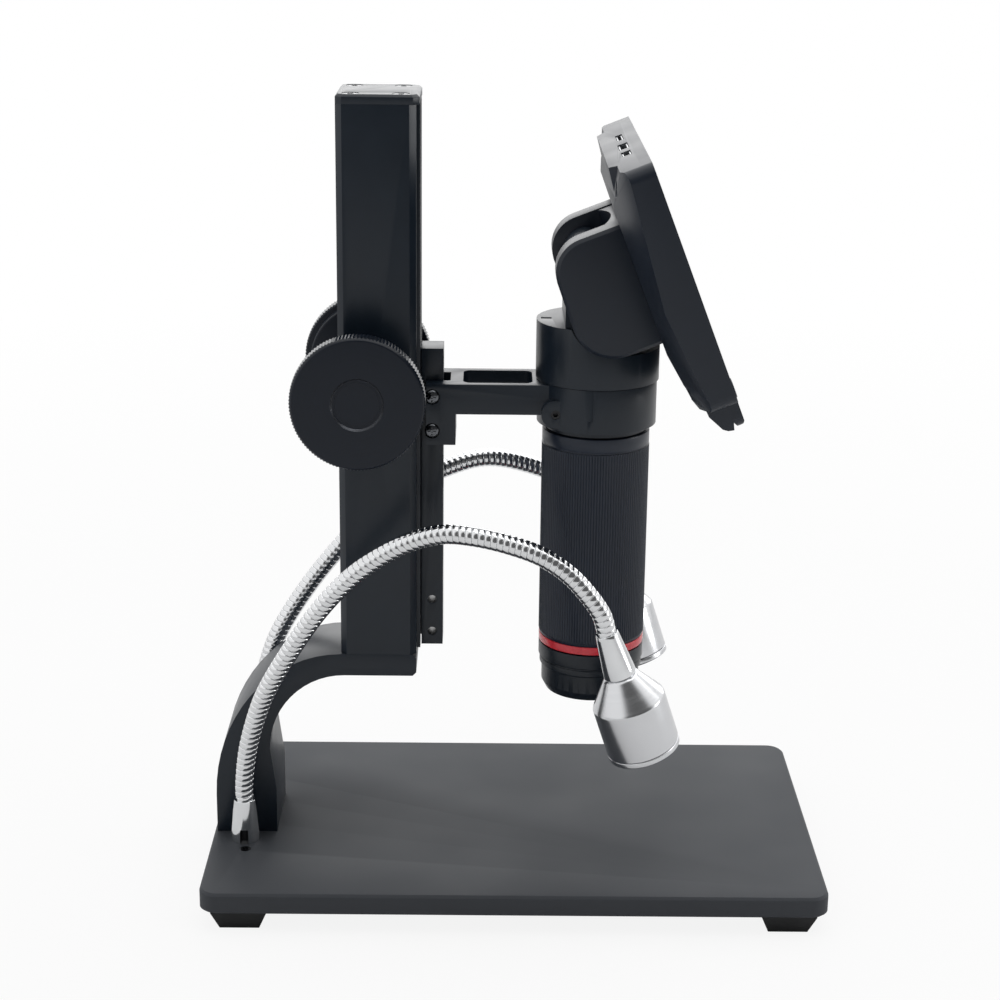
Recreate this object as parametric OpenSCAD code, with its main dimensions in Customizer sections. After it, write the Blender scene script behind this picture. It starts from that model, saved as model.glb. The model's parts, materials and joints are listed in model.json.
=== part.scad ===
// Bench microscope with its own screen: a base plate with a curved foot and a
// hollow column, a rack-and-pinion slide that carries the optical tube, a screen
// on a moulded clevis, and two lamps on ribbed goosenecks.
// +X runs to the user's side, +Y away from the near lamp, +Z up. The origin is on
// the standing surface below the middle of the base plate.

/* [Base] */
// Length of the base plate, along X
base_length = 200; // [185:1:230]
// Depth of the base plate, along Y
base_depth = 120; // [110:1:150]
// Thickness of the base plate
base_thick = 7; // [6:0.5:10]
// Corner radius of the base plate seen from above
base_corner = 5.5; // [3:0.5:10]
// Chamfer round the upper and lower edges of the base plate
base_chamfer = 0.8; // [0.4:0.1:1.5]
// Height of the rubber feet
foot_height = 6.5; // [5:0.5:9]
// Width of a square foot where it meets the plate
foot_top = 17.8; // [16:0.2:18.4]
// Width of a square foot where it meets the table
foot_bottom = 12.6; // [11:0.2:15]
// Distance of the foot centres from the plate's ends
foot_inset_x = 12.6; // [10:0.2:16]
// Distance of the foot centres from the plate's long sides
foot_inset_y = 9.7; // [9.7:0.1:14]

/* [Curved foot] */
// Distance of the curved foot from the left end of the plate
arch_setback = 1; // [0.5:0.5:3]
// Width of the curved foot, along Y
arch_width = 30; // [26:1:34]
// Rise of the curved foot from the plate to the column
arch_rise = 63.8; // [56:0.2:75]
// Reach of the outer curve from the leg's back to the column's back
arch_reach = 42; // [40:0.5:50]
// Thickness of the leg where it stands on the plate
arch_leg = 20; // [16:0.5:22]
// Thickness of the leg at its waist
arch_waist = 17.5; // [13:0.5:18]
// Thickness of the bar under the column
arch_bar = 7.4; // [6:0.2:10]

/* [Column] */
// Depth of the column, along X
column_depth = 24.6; // [23.6:0.2:28]
// Width of the column, along Y
column_width = 30; // [28:0.5:34]
// Wall of the hollow column
column_wall = 2.2; // [1.8:0.1:2.4]
// Corner chamfer of the column
column_chamfer = 2; // [1:0.25:3]
// Height of the column without its cap
column_height = 177.7; // [170:0.1:220]
// Thickness of the column's cap
cap_thick = 3; // [2:0.25:5]
// Height of the guide ribs on the column's front face
guide_rise = 1.1; // [0.8:0.1:1.6]

/* [Focus drive] */
// Diameter of the focus knobs
knob_d = 42; // [36:1:50]
// Thickness of the knurled part of a knob
knob_thick = 11; // [8:0.5:14]
// Distance between the outer faces of the two knobs
knob_span = 70; // [64:1:80]
// Height of the knob shaft above the column's foot
knob_rise = 89.2; // [80:0.2:92]
// Distance of the knob shaft from the column's back face
knob_setback = 7.2; // [7.2:0.1:7.6]
// Diameter of the pinion shaft
shaft_d = 5; // [4:0.25:5.5]
// Module of the pinion and the rack
gear_module = 0.6; // [0.55:0.01:0.62]
// Number of teeth on the pinion
pinion_teeth = 14; // [13:1:14]
// Length of the slide
slide_length = 100; // [95:1:120]
// Width of the slide's front bar, along Y
slide_width = 11; // [9:0.5:13]
// Depth of the slide's front bar, along X
slide_depth = 7; // [6:0.5:9]
// Height left free under the slide's inner rail, for travel down
slide_drop = 10; // [10:0.5:12]

/* [Arm] */
// Width of the arm, along Y
arm_width = 22; // [20:0.5:26]
// Height of the arm
arm_height = 9.7; // [8:0.1:11]
// Height of the arm's underside above the slide's lower end
arm_rise = 80; // [75:0.5:86]
// Depth of the leg below the arm that is screwed to the slide
arm_leg_drop = 10.1; // [9:0.1:14]
// Distance between the two arm screws on each side
arm_screw_pitch = 11.1; // [10:0.1:12]
// Distance from the column's front face to the optical axis
arm_reach = 57.6; // [54:0.2:70]
// Outer diameter of the arm's ring
ring_d = 38.4; // [37.4:0.2:41]
// Height of the arm's ring
ring_height = 14.1; // [12:0.1:15]
// Diameter of the clamp screw's boss
boss_d = 9; // [8:0.25:10]

/* [Optical tube] */
// Diameter of the tube in the ring
tube_d = 32.7; // [32:0.1:33.5]
// Diameter of the head block
head_d = 39.5; // [38.6:0.1:42]
// Height of the head block up to its ledge
head_height = 18.8; // [17:0.1:22]
// Height of the head block under the clevis pocket
head_floor = 10.7; // [9.5:0.1:12]
// Diameter of the focus barrel over its ribs
barrel_d = 34.8; // [34.4:0.1:37]
// Length of the focus barrel
barrel_length = 70.1; // [64:0.1:78]
// Height of the plain collar at the top of the focus barrel
collar_height = 4.4; // [3:0.1:6]
// Number of ribs on the focus barrel
barrel_ribs = 120; // [96:4:132]
// Depth of the barrel's ribs
rib_depth = 0.35; // [0.3:0.05:0.5]
// Height of the red ring
red_height = 2.6; // [1.5:0.1:4]
// Length of the lens nose
nose_length = 16.4; // [14:0.1:20]
// Diameter of the opening in the lens nose
nose_bore_d = 18; // [14:0.5:20]

/* [Hinge] */
// Height of the hinge axis above the head block's underside
hinge_rise = 38.2; // [38:0.1:40]
// Distance of the hinge axis behind the optical axis
hinge_back = 3.8; // [3:0.1:4.5]
// Width of the head block's tongue between the cheeks
tongue_width = 30.4; // [27:0.2:31]
// Thickness of the tongue, and diameter of its rounded top
tongue_thick = 14.6; // [13:0.2:16]
// Thickness of each cheek of the clevis
cheek_thick = 10; // [8:0.25:12]
// Radius of the cheek round the hinge axis
cheek_upper_r = 10.9; // [10:0.1:11.4]
// Radius of the cheek's lower corner
cheek_lower_r = 13.1; // [12:0.1:13.6]
// Height of the cheek below the hinge axis
cheek_drop = 28.4; // [28:0.1:28.6]
// Diameter of the hinge studs
stud_d = 6; // [5:0.25:7]
// Backward lean of the screen at rest, in degrees
screen_lean = 21.5; // [20:0.25:23]

/* [Screen] */
// Width of the screen housing, along Y
screen_width = 114; // [112:1:130]
// Height of the screen housing without its lower lip
screen_height = 76.1; // [75:0.1:84]
// Height of the housing above the hinge axis
screen_above = 29.9; // [29.5:0.1:34]
// Distance of the screen's front face from the hinge axis
screen_front = 27.9; // [27.5:0.1:29]
// Distance of the housing's back from the hinge axis
screen_back = 12.9; // [12.5:0.1:13]
// Thickness of the front bezel
bezel_thick = 3.2; // [2.8:0.1:3.6]
// Wall of the back shell
shell_wall = 2; // [1.6:0.1:2.2]
// Corner radius of the housing seen from the front
screen_corner = 4; // [3:0.5:8]
// Drop of the lip below the housing
lip_drop = 9; // [9:0.25:11]
// Width of the display window
window_width = 103; // [96:0.5:103.5]
// Height of the display window
window_height = 59; // [54:0.5:59.5]
// Diameter of the push buttons
button_d = 6.4; // [5:0.2:7]
// Distance between neighbouring push buttons
button_pitch = 15; // [12:0.5:19]
// Travel of a push button
button_travel = 0.8; // [0.5:0.1:0.8]

/* [Lamps] */
// Distance of the gooseneck bases from the plate's left end
lamp_base_x = 11; // [10:0.5:13]
// Distance of the gooseneck bases from the middle line
lamp_base_y = 20.3; // [20:0.1:26]
// Height of the base ferrules
base_ferrule_height = 14.5; // [12:0.5:18]
// Diameter of a gooseneck over its ribs
neck_d = 6.2; // [5.4:0.1:6.4]
// Distance between the ribs of a gooseneck
neck_pitch = 2; // [1.9:0.1:3]
// Diameter of the wire bore in a gooseneck
neck_bore_d = 3; // [2:0.1:3.4]
// Length of the tapered ferrule at the lamp
neck_ferrule_length = 15.2; // [12:0.2:18]
// Diameter of a lamp head
lamp_d = 23.5; // [20:0.5:25]
// Length of the lamp head's straight part
lamp_barrel = 18.8; // [16:0.2:22]
// Length of the lamp head's cone
lamp_cone = 9.4; // [8:0.2:12]
// Wall of the lamp head
lamp_wall = 1.2; // [1:0.1:1.6]
// Height of the lamp's rim above the base plate, at its centre
lamp_height = 41.6; // [38:0.2:48]
// Sideways distance of the lamp's rim from the middle line
lamp_side = 38.5; // [36:0.5:44]
// Tilt of the lamps along X, in degrees
lamp_tilt = 18; // [15:0.5:22]
// Lean of the lamps towards the middle line, in degrees
lamp_lean = 6; // [3:0.5:9]

/* [Hidden] */

$fn = 64;
fit = 0.08;          // radial play of a turning or sliding round fit
seat = 0.05;         // play of a piece that is pressed or screwed into another
side_gap = 0.3;      // play between flat or curved faces of moving pieces
over = 1;            // how far a cut runs past the face that it opens
step = 6;            // points on a quarter of a rounded corner

// Levels
plate_top = foot_height + base_thick;
arch_top = plate_top + arch_rise;
column_top = arch_top + column_height;
knob_z = arch_top + knob_rise;
slide_z = arch_top + side_gap;
arm_z = slide_z + arm_rise;
arm_top = arm_z + arm_height;
ring_top = arm_top + side_gap;
head_z = ring_top + side_gap;
hinge_z = head_z + hinge_rise;
ledge_z = head_z + head_height;
floor_z = head_z + head_floor;
barrel_top = ring_top - ring_height - 2.2;
barrel_z = barrel_top - barrel_length;
red_z = barrel_z - red_height - side_gap;
nose_top = red_z - side_gap;
nose_z = nose_top - nose_length;

// Places along X
base_left = -base_length / 2;
arch_left = base_left + arch_setback;
column_back = arch_left + arch_reach;
column_front = column_back + column_depth;
knob_x = column_back + knob_setback;
slide_back = column_front + guide_rise + side_gap;
slide_front = slide_back + slide_depth;
tube_x = column_front + arm_reach;
hinge_x = tube_x - hinge_back;
ferrule_x = base_left + lamp_base_x;

// Drive
pinion_r = gear_module * pinion_teeth / 2;
rack_pitch = PI * gear_module;
rack_addendum = 0.8 * gear_module;
gear_dedendum = 1.25 * gear_module;
gear_backlash = 0.1;
rack_x = knob_x + pinion_r;
bush_d = 8;
bush_flange = 1.2;
bush_flange_d = 11;
knob_outer = knob_span / 2;
knob_inner = knob_outer - knob_thick;
knurl_teeth = 120;
knurl_depth = 0.3;
knob_cap_d = 13.7;
knob_cap_thick = 1.6;
hub_d = 16;

// Slide: a front bar, a stem through the column's slot and a flange behind it
stem_width = slide_width - 3;
flange_width = slide_width + 4;
flange_thick = 2.9;
slot_width = stem_width + 2 * side_gap;
front_wall = column_wall + 0.2;
flange_front = column_front - front_wall - side_gap;
flange_back = flange_front - flange_thick;
slide_top = slide_z + slide_length;
rail_z = slide_z + slide_drop;
slide_mid = (slide_back + slide_front) / 2;
arm_leg_z = arm_z - arm_leg_drop;
arm_back = slide_back + 1.6;
arm_fork_front = slide_front + 2.3;
arm_web = 4;
arm_hole_d = 2.9;
upper_screw_z = arm_z + arm_height - 4.1;
spare_hole_z = slide_z + 4.5;
rack_screw_rows = [slide_z + 30, slide_z + 55, slide_z + slide_length - 5];

// Optical tube
tube_r = tube_d / 2;
ring_r = ring_d / 2;
head_r = head_d / 2;
barrel_r = barrel_d / 2;
inner_tube_r = tube_r - 1.15;
tube_bore_r = inner_tube_r - 2;
groove = 0.6;
cell_z = barrel_z + 22;
cell_length = 14;
cell_lens_d = 20;
cell_lens_thick = 4;
cell_lens_r = 26;
boss_x = tube_x - 13.6;
boss_z = arm_z + 1.1;
boss_face = -14.8;

// Hinge, seen in the screen's own frame: x forward, z up along the screen
tongue_r = tongue_thick / 2;
cheek_in = tongue_width / 2 + side_gap;
cheek_out = cheek_in + cheek_thick;
pocket_gap = 0.8;
cheek_low = [1.7, -cheek_drop + cheek_lower_r];
web_thin = 1.5;
web_edge = tongue_r + 0.4;
web_deep = screen_back - web_thin - web_edge;
web_r = (cheek_in * cheek_in + web_deep * web_deep) / (2 * web_deep);
stud_in = 6;
stud_out = cheek_out - 3.2;
washer_d = 13;
washer_thick = 0.85;
washer_sink = 0.6;

// Screen
seam_x = screen_front - bezel_thick;
screen_low = screen_above - screen_height;
lip_z = screen_low - lip_drop;
lip_half = screen_width / 2 - 8;
glass_thick = 1.4;
glass_ledge = 1.5;
window_z = screen_above - 9 - window_height / 2;
lcd_thick = 3;
lcd_width = window_width - 4;
lcd_height = window_height - 2;
lcd_back = seam_x - lcd_thick - 0.1;
board_thick = 1.2;
board_x = lcd_back - board_thick - 0.8;
battery_thick = 2.7;
battery_x = board_x - battery_thick - 0.1;
board_width = lcd_width - 11;
board_height = lcd_height - 5;
chip_size = 12;
chip_thick = 1.4;
battery_width = 27;
battery_height = 34;
port_depth = 5.4;
port_x = lcd_back + 0.6;
button_z = lip_z + 7.3;
button_names = ["power", "menu", "up", "down", "ok"];
button_flange_d = button_d + 1.6;
button_flange = 0.9;
switch_height = 1.4;
button_stem = 0.5;
button_sink = 1.2;
button_x = seam_x + button_sink - seat;
button_board_x = button_x - button_flange - button_stem - button_travel
    - 0.1 - switch_height - board_thick;
screw_rows = [screen_above - 5.7, screen_low + 5.2];
screw_half = screen_width / 2 - 15;
screw_seat = screen_back + 7.9;
end_rise = 3.6;
end_ridge = screen_low + 33.2;
end_slope = 0.33;
end_upper = 0.09;
end_lower = 0.11;

// Lamps
lamp_r = lamp_d / 2;
lamp_neck_r = 5.3;
neck_r = neck_d / 2;
rim_height = 2;
near_lamp = [tube_x + 16, -lamp_side, plate_top + lamp_height];
far_lamp = [tube_x + 18, lamp_side, plate_top + lamp_height + 0.8];
lamp_length = lamp_barrel + lamp_cone + neck_ferrule_length;
neck_start = plate_top + base_ferrule_height;

// Middle points of each gooseneck, measured from the top of its base ferrule
near_route = [
    [0, 0, 0], [0, 0, neck_d], [1.5, -0.7, 18], [5, -2, 31], [9, -3.3, 41],
    [16, -5, 53.5], [25, -7, 67.5], [34, -9, 78.5], [43, -10.5, 86.5], [53.5, -12.5, 93.3],
    [64.5, -14.5, 97.2], [75, -16.5, 97.3], [86.5, -18.5, 95.3], [97, -20.8, 92],
    [106, -22.5, 86]
];
far_route = [
    [0, 0, 0], [0, 0, neck_d], [1.2, 0.7, 18], [4, 2, 31], [8, 3.5, 42],
    [15.5, 5.5, 54.5], [24.5, 7.5, 66.5], [36, 9.5, 79.5], [49, 11.5, 91],
    [64.5, 13.5, 98.5], [80, 16, 102], [97.5, 19, 97.5], [107, 21, 91.5]
];
neck_sides = 8;
route_steps = 12;
bore_step = 9;

// ---- Shared shapes ----

function arc(x, y, rx, ry, from, to, count = step) =
    [for (i = [0:count]) let (a = from + (to - from) * i / count) [x + rx * cos(a), y + ry * sin(a)]];

function round_rect(w, h, r) = concat(
    arc(w / 2 - r, h / 2 - r, r, r, 0, 90), arc(r - w / 2, h / 2 - r, r, r, 90, 180),
    arc(r - w / 2, r - h / 2, r, r, 180, 270), arc(w / 2 - r, r - h / 2, r, r, 270, 360));

function chamfer_rect(w, h, c) = [
    [w / 2, h / 2 - c], [w / 2 - c, h / 2], [c - w / 2, h / 2], [-w / 2, h / 2 - c],
    [-w / 2, c - h / 2], [c - w / 2, -h / 2], [w / 2 - c, -h / 2], [w / 2, c - h / 2]];

function rib_ring(r, depth, count) =
    [for (i = [0:2 * count - 1]) let (a = 180 * i / count, q = i % 2 == 0 ? r : r - depth)
        [q * cos(a), q * sin(a)]];

// A shape drawn in X and Z, given a width along Y about the middle
module across(width) {
    rotate([90, 0, 0]) translate([0, 0, -width / 2]) linear_extrude(width) children();
}

// A cylinder along Y from y0 to y1
module rod_y(d, y0, y1) {
    translate([0, y0, 0]) rotate([-90, 0, 0]) cylinder(d = d, h = y1 - y0);
}

// Places its children on both sides of the middle plane
module both_sides() {
    children();
    mirror([0, 1, 0]) children();
}

module foot_places() {
    for (sx = [-1, 1], sy = [-1, 1])
        translate([sx * (base_length / 2 - foot_inset_x), sy * (base_depth / 2 - foot_inset_y), 0])
            children();
}

module arch_screw_places() {
    for (dx = [-0.25, 0.25], sy = [-1, 1])
        translate([arch_left + arch_leg * (0.5 + dx), sy * arch_width * 0.3, 0]) children();
}

module column_port_places() {
    mid = (column_back + column_front) / 2;
    px = column_depth / 2 - 4.6;
    py = column_width / 2 - 3.9;
    for (sx = [-1, 1], sy = [-1, 1]) translate([mid + sx * px, sy * py, 0]) children();
}

// ---- Base ----

module base_plate() color("#3a3c40") difference() {
    hull() {
        translate([0, 0, foot_height])
            linear_extrude(base_thick)
                polygon(round_rect(base_length - 2 * base_chamfer, base_depth - 2 * base_chamfer,
                    base_corner - base_chamfer / 2));
        translate([0, 0, foot_height + base_chamfer])
            linear_extrude(base_thick - 2 * base_chamfer)
                polygon(round_rect(base_length, base_depth, base_corner));
    }
    arch_screw_places() {
        translate([0, 0, foot_height - over]) cylinder(d = 5.2, h = base_thick + 2 * over);
        translate([0, 0, foot_height - over]) cylinder(d = 9, h = 4 + over);
    }
    foot_places() translate([0, 0, foot_height - over]) cylinder(d = 3.1, h = 5 + over);
    both_sides() translate([ferrule_x, lamp_base_y, foot_height - over])
        cylinder(d = neck_bore_d, h = base_thick + 2 * over);
    plate_screw_places() {
        translate([0, 0, plate_top - 1.2]) cylinder(d = 3.9, h = 1.2 + over);
        translate([0, 0, plate_top - 5]) cylinder(d = 2.1, h = 5);
    }
}

module plate_screw_places() {
    both_sides() translate([ferrule_x + 0.7, lamp_base_y + 7.6, 0]) children();
}

module plate_screws() color("#8a8c90") plate_screw_places() difference() {
    union() {
        translate([0, 0, plate_top - 1.15]) cylinder(d = 3.7, h = 1);
        translate([0, 0, plate_top - 4.8]) cylinder(d = 2, h = 4);
    }
    translate([0, 0, plate_top - 0.7]) cylinder(d = 1.8, h = over, $fn = 6);
}

module foot_side() across(2 * foot_top)
    polygon([[-foot_top / 2, foot_height], [-foot_bottom / 2, 0], [foot_bottom / 2, 0],
        [foot_top / 2, foot_height]]);

module rubber_feet() color("#1d1e20") foot_places() difference() {
    intersection() {
        foot_side();
        rotate([0, 0, 90]) foot_side();
    }
    translate([0, 0, -over]) cylinder(d = 6.8, h = 3 + over);
    cylinder(d = 3.4, h = foot_height + over);
}

module foot_screws() color("#8a8c90") foot_places() {
    translate([0, 0, 1]) cylinder(d = 6, h = 2);
    translate([0, 0, 2.9]) cylinder(d = 3, h = foot_height + 1.5);
}

// ---- Curved foot ----

module arch_outline() {
    outer_h = 50.3 * arch_rise / 63.8;
    inner_x = arch_left + arch_reach + 1;
    waist_z = plate_top + arch_rise / 2 - 2;
    inner_left = arch_left + arch_waist + 0.6;
    bar_z = arch_top - arch_bar;
    polygon(concat(
        [[arch_left, plate_top]],
        arc(column_back, arch_top - outer_h, arch_reach, outer_h, 180, 90, 16),
        [[column_front - 1.2, arch_top], [column_front, arch_top - 1.2],
            [column_front, bar_z + 1.2], [column_front - 1.2, bar_z]],
        arc(inner_x, waist_z, inner_x - inner_left, bar_z - waist_z, 90, 180, 14),
        [[arch_left + arch_leg, waist_z - 14], [arch_left + arch_leg, plate_top]]));
}

module column_foot() color("#33363b") difference() {
    across(arch_width) arch_outline();
    arch_screw_places() translate([0, 0, plate_top - over]) cylinder(d = 4.2, h = 12 + over);
    column_port_places() {
        translate([0, 0, arch_top - arch_bar - over]) cylinder(d = 3.2, h = arch_bar + 2 * over);
        translate([0, 0, arch_top - arch_bar - over]) cylinder(d = 6, h = 3 + over);
    }
}

module arch_screws() color("#8a8c90") arch_screw_places() {
    translate([0, 0, foot_height + 0.3]) difference() {
        cylinder(d = 8.5, h = 3.6);
        translate([0, 0, -over]) cylinder(d = 4.2, h = 2.2 + over, $fn = 6);
    }
    translate([0, 0, foot_height + 3.8]) cylinder(d = 4.1, h = 14);
}

// ---- Column ----

module column_profile() {
    mid = (column_back + column_front) / 2;
    difference() {
        union() {
            translate([mid, 0]) polygon(chamfer_rect(column_depth, column_width, column_chamfer));
            for (s = [-1, 1])
                translate([column_front - 0.5, s * (slot_width / 2 + 1.9) - 1.9])
                    square([guide_rise + 0.5, 3.8]);
        }
        difference() {
            translate([column_back + column_wall, -column_width / 2 + column_wall])
                square([column_depth - column_wall - front_wall, column_width - 2 * column_wall]);
            column_port_places() circle(d = 5.6);
        }
        translate([column_front - front_wall - over, -slot_width / 2])
            square([front_wall + guide_rise + 2 * over, slot_width]);
        column_port_places() circle(d = 2.6);
    }
}

module column() color("#26282b") difference() {
    translate([0, 0, arch_top]) linear_extrude(column_height) column_profile();
    translate([knob_x, 0, knob_z]) rod_y(bush_d + 2 * seat, -column_width, column_width);
    translate([knob_x, 0, knob_z])
        rod_y(bush_flange_d, -column_width / 2 + column_wall, column_width / 2 - column_wall);
}

module column_screws() color("#8a8c90") column_port_places() {
    translate([0, 0, arch_top - arch_bar + 0.2]) cylinder(d = 5.4, h = 2.6);
    translate([0, 0, arch_top - arch_bar + 2.7]) cylinder(d = 2.5, h = arch_bar + 7);
}

module top_cap() color("#2b2d31") {
    mid = (column_back + column_front + guide_rise) / 2;
    w = column_depth + guide_rise;
    d = column_width;
    difference() {
        translate([mid, 0, column_top]) hull() {
            linear_extrude(cap_thick - 0.8) polygon(chamfer_rect(w, d, column_chamfer));
            linear_extrude(cap_thick) polygon(chamfer_rect(w - 1.6, d - 1.6, column_chamfer - 0.3));
        }
        column_port_places() {
            translate([0, 0, column_top - over]) cylinder(d = 3, h = cap_thick + 2 * over);
            translate([0, 0, column_top + cap_thick - 1.5]) cylinder(d = 5.4, h = 1.5 + over);
        }
    }
}

module cap_screws() color("#9a9ca0") column_port_places() {
    translate([0, 0, column_top - 8]) cylinder(d = 2.5, h = 8 + cap_thick - 1);
    translate([0, 0, column_top + cap_thick - 1.45]) difference() {
        cylinder(d = 5, h = 1.3);
        translate([0, 0, 0.5]) cylinder(d = 2.4, h = 2, $fn = 6);
    }
}

// ---- Focus drive ----

module pinion_bushes() color("#b08d57") both_sides() translate([knob_x, 0, knob_z]) difference() {
    union() {
        rod_y(bush_d, column_width / 2 - column_wall, column_width / 2 + 0.1);
        rod_y(bush_flange_d, column_width / 2 + seat, column_width / 2 + bush_flange);
    }
    rod_y(shaft_d + 2 * fit, 0, column_width);
}

function inv(a) = tan(a) - a * PI / 180;
function half_tooth(r) = let (base_r = pinion_r * cos(20), a = acos(min(1, base_r / r)))
    ((PI * gear_module / 2 - gear_backlash) / (2 * pinion_r) + inv(20) - inv(a)) * 180 / PI;

module pinion_outline() {
    base_r = pinion_r * cos(20);
    tip_r = pinion_r + gear_module;
    root_r = pinion_r - gear_dedendum;
    flank = [for (i = [0:4]) base_r + (tip_r - base_r) * i / 4];
    polygon([for (k = [0:pinion_teeth - 1]) let (c = 360 * k / pinion_teeth)
        each concat(
            [[root_r * cos(c - half_tooth(base_r)), root_r * sin(c - half_tooth(base_r))]],
            [for (r = flank) [r * cos(c - half_tooth(r)), r * sin(c - half_tooth(r))]],
            [for (i = [4:-1:0]) let (r = flank[i]) [r * cos(c + half_tooth(r)), r * sin(c + half_tooth(r))]],
            [[root_r * cos(c + half_tooth(base_r)), root_r * sin(c + half_tooth(base_r))]])]);
}

module pinion_shaft() color("#a9abae") translate([knob_x, 0, knob_z]) {
    rod_y(shaft_d, 2.5 - knob_outer, knob_outer - 2.5);
    across(stem_width) pinion_outline();
}

module knob() translate([knob_x, 0, knob_z]) difference() {
    union() {
        rod_y(hub_d, column_width / 2 + bush_flange + side_gap, knob_inner + 0.5);
        rod_y(knob_d - 2, knob_inner, knob_outer);
        rod_y(knob_d - 1, knob_inner + 0.4, knob_outer - 0.4);
        rotate([-90, 0, 0]) translate([0, 0, knob_inner + 0.9])
            linear_extrude(knob_thick - 1.8) polygon(rib_ring(knob_d / 2, knurl_depth, knurl_teeth));
    }
    rod_y(shaft_d + 2 * seat, 0, knob_outer - 2);
    rod_y(knob_cap_d + 0.4, knob_outer - knob_cap_thick - 0.4, knob_outer + over);
}

module near_knob() color("#2a2c30") mirror([0, 1, 0]) knob();
module far_knob() color("#2a2c30") knob();

module knob_caps() color("#303338") both_sides() translate([knob_x, 0, knob_z]) difference() {
    rod_y(knob_cap_d, knob_outer - knob_cap_thick - 0.35, knob_outer - 0.35);
    rod_y(3.4, knob_outer - 1.2, knob_outer + over);
}

module slide_profile() {
    translate([slide_back, -slide_width / 2]) square([slide_depth, slide_width]);
}

module rail_profile() {
    translate([flange_back, -flange_width / 2]) square([flange_thick, flange_width]);
    translate([flange_front - 0.1, -stem_width / 2])
        square([slide_back - flange_front + 0.2, stem_width]);
}

module slide_rail() color("#26282b") difference() {
    union() {
        translate([0, 0, slide_z]) linear_extrude(slide_length) slide_profile();
        translate([0, 0, rail_z]) linear_extrude(slide_length - slide_drop) rail_profile();
    }
    for (z = [spare_hole_z, spare_hole_z + arm_screw_pitch, upper_screw_z - arm_screw_pitch, upper_screw_z])
        translate([slide_mid, 0, z]) rod_y(arm_hole_d, -slide_width, slide_width);
    for (z = rack_screw_rows) translate([flange_back - over, 0, z]) rotate([0, 90, 0]) {
        cylinder(d = 3.2, h = slide_front - flange_back + 2 * over);
        translate([0, 0, slide_front - flange_back + over - 2.2]) cylinder(d = 5.8, h = 2.2 + over);
    }
}

module rack_screws() color("#8a8c90") for (z = rack_screw_rows)
    translate([slide_front - 2.1, 0, z]) rotate([0, 90, 0]) difference() {
        union() {
            cylinder(d = 5.5, h = 1.9);
            translate([0, 0, 2.1 - slide_front + flange_back - 4])
                cylinder(d = 2.9, h = slide_front - flange_back + 2);
        }
        translate([0, 0, 0.7]) cylinder(d = 2.6, h = 2, $fn = 6);
    }

module rack() color("#a9abae") {
    half = rack_pitch / 4 - 0.02;
    slope = tan(20);
    root_x = rack_x + gear_dedendum;
    tip_x = rack_x - rack_addendum;
    low = half - slope * rack_addendum;
    high = half + slope * gear_dedendum;
    first = ceil((rail_z - knob_z + 2) / rack_pitch);
    last = floor((slide_top - knob_z - 2) / rack_pitch);
    difference() {
        across(stem_width) polygon(concat(
            [[flange_back, rail_z + 1], [root_x, rail_z + 1]],
            [for (k = [first:last - 1]) let (z = knob_z + (k + 0.5) * rack_pitch)
                each [[root_x, z - high], [tip_x, z - low], [tip_x, z + low], [root_x, z + high]]],
            [[root_x, slide_top - 1], [flange_back, slide_top - 1]]));
        for (z = rack_screw_rows) translate([flange_back - 4.3, 0, z]) rotate([0, 90, 0])
            cylinder(d = 3, h = 4.3 + over);
    }
}

// ---- Arm ----

module arm_bracket() color("#212429") difference() {
    union() {
        translate([arm_back, -arm_width / 2, arm_z])
            cube([tube_x - arm_back, arm_width, arm_height]);
        translate([arm_back, -arm_width / 2, arm_leg_z])
            cube([arm_fork_front + 1.7 - arm_back, arm_width, arm_leg_drop + 1]);
        translate([tube_x, 0, ring_top - ring_height]) cylinder(r = ring_r, h = ring_height, $fn = 96);
        translate([boss_x, 0, boss_z]) rod_y(boss_d, boss_face, -8);
    }
    // Fork round the slide
    translate([arm_back - over, -slide_width / 2 - seat, arm_leg_z - over])
        cube([arm_fork_front - arm_back + over, slide_width + 2 * seat, 2 * arm_height + arm_leg_drop]);
    // Pocket through the arm
    translate([(arm_fork_front + arm_web + boss_x - 7.2) / 2, 0, arm_z - over])
        linear_extrude(arm_height + 2 * over)
            polygon(round_rect(boss_x - 7.2 - arm_fork_front - arm_web, arm_width - 5.4, 2.5));
    translate([tube_x, 0, ring_top - ring_height - over])
        cylinder(r = tube_r + fit, h = ring_height + 2 * over, $fn = 96);
    // Shallow index flat on the ring
    translate([tube_x - 4, -ring_r - 4.6, arm_z]) cube([2, 5, arm_height + over]);
    for (z = [upper_screw_z - arm_screw_pitch, upper_screw_z]) translate([slide_mid, 0, z]) {
        rod_y(3.2, -arm_width, arm_width);
        rod_y(5, -arm_width, 1 - arm_width / 2);
        rod_y(5, arm_width / 2 - 1, arm_width);
    }
    translate([boss_x, 0, boss_z]) rod_y(3, boss_face - over, -8);
}

module arm_screws() color("#c9cbce") both_sides()
    for (z = [upper_screw_z - arm_screw_pitch, upper_screw_z]) translate([slide_mid, 0, z]) difference() {
        union() {
            rod_y(2.7, 1, arm_width / 2);
            rod_y(4.6, arm_width / 2 - 0.95, arm_width / 2 + 0.8);
        }
        translate([-0.35, arm_width / 2, -1.5]) cube([0.7, 2, 3]);
        translate([-1.5, arm_width / 2, -0.35]) cube([3, 2, 0.7]);
    }

module clamp_screw() color("#3d4045") translate([boss_x, 0, boss_z]) difference() {
    rod_y(2.9, boss_face + 0.2, boss_face + 3.3);
    translate([0, boss_face - over, 0]) rotate([-90, 0, 0]) cylinder(d = 1.8, h = 1.8 + over, $fn = 6);
}

// ---- Optical tube ----

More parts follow.
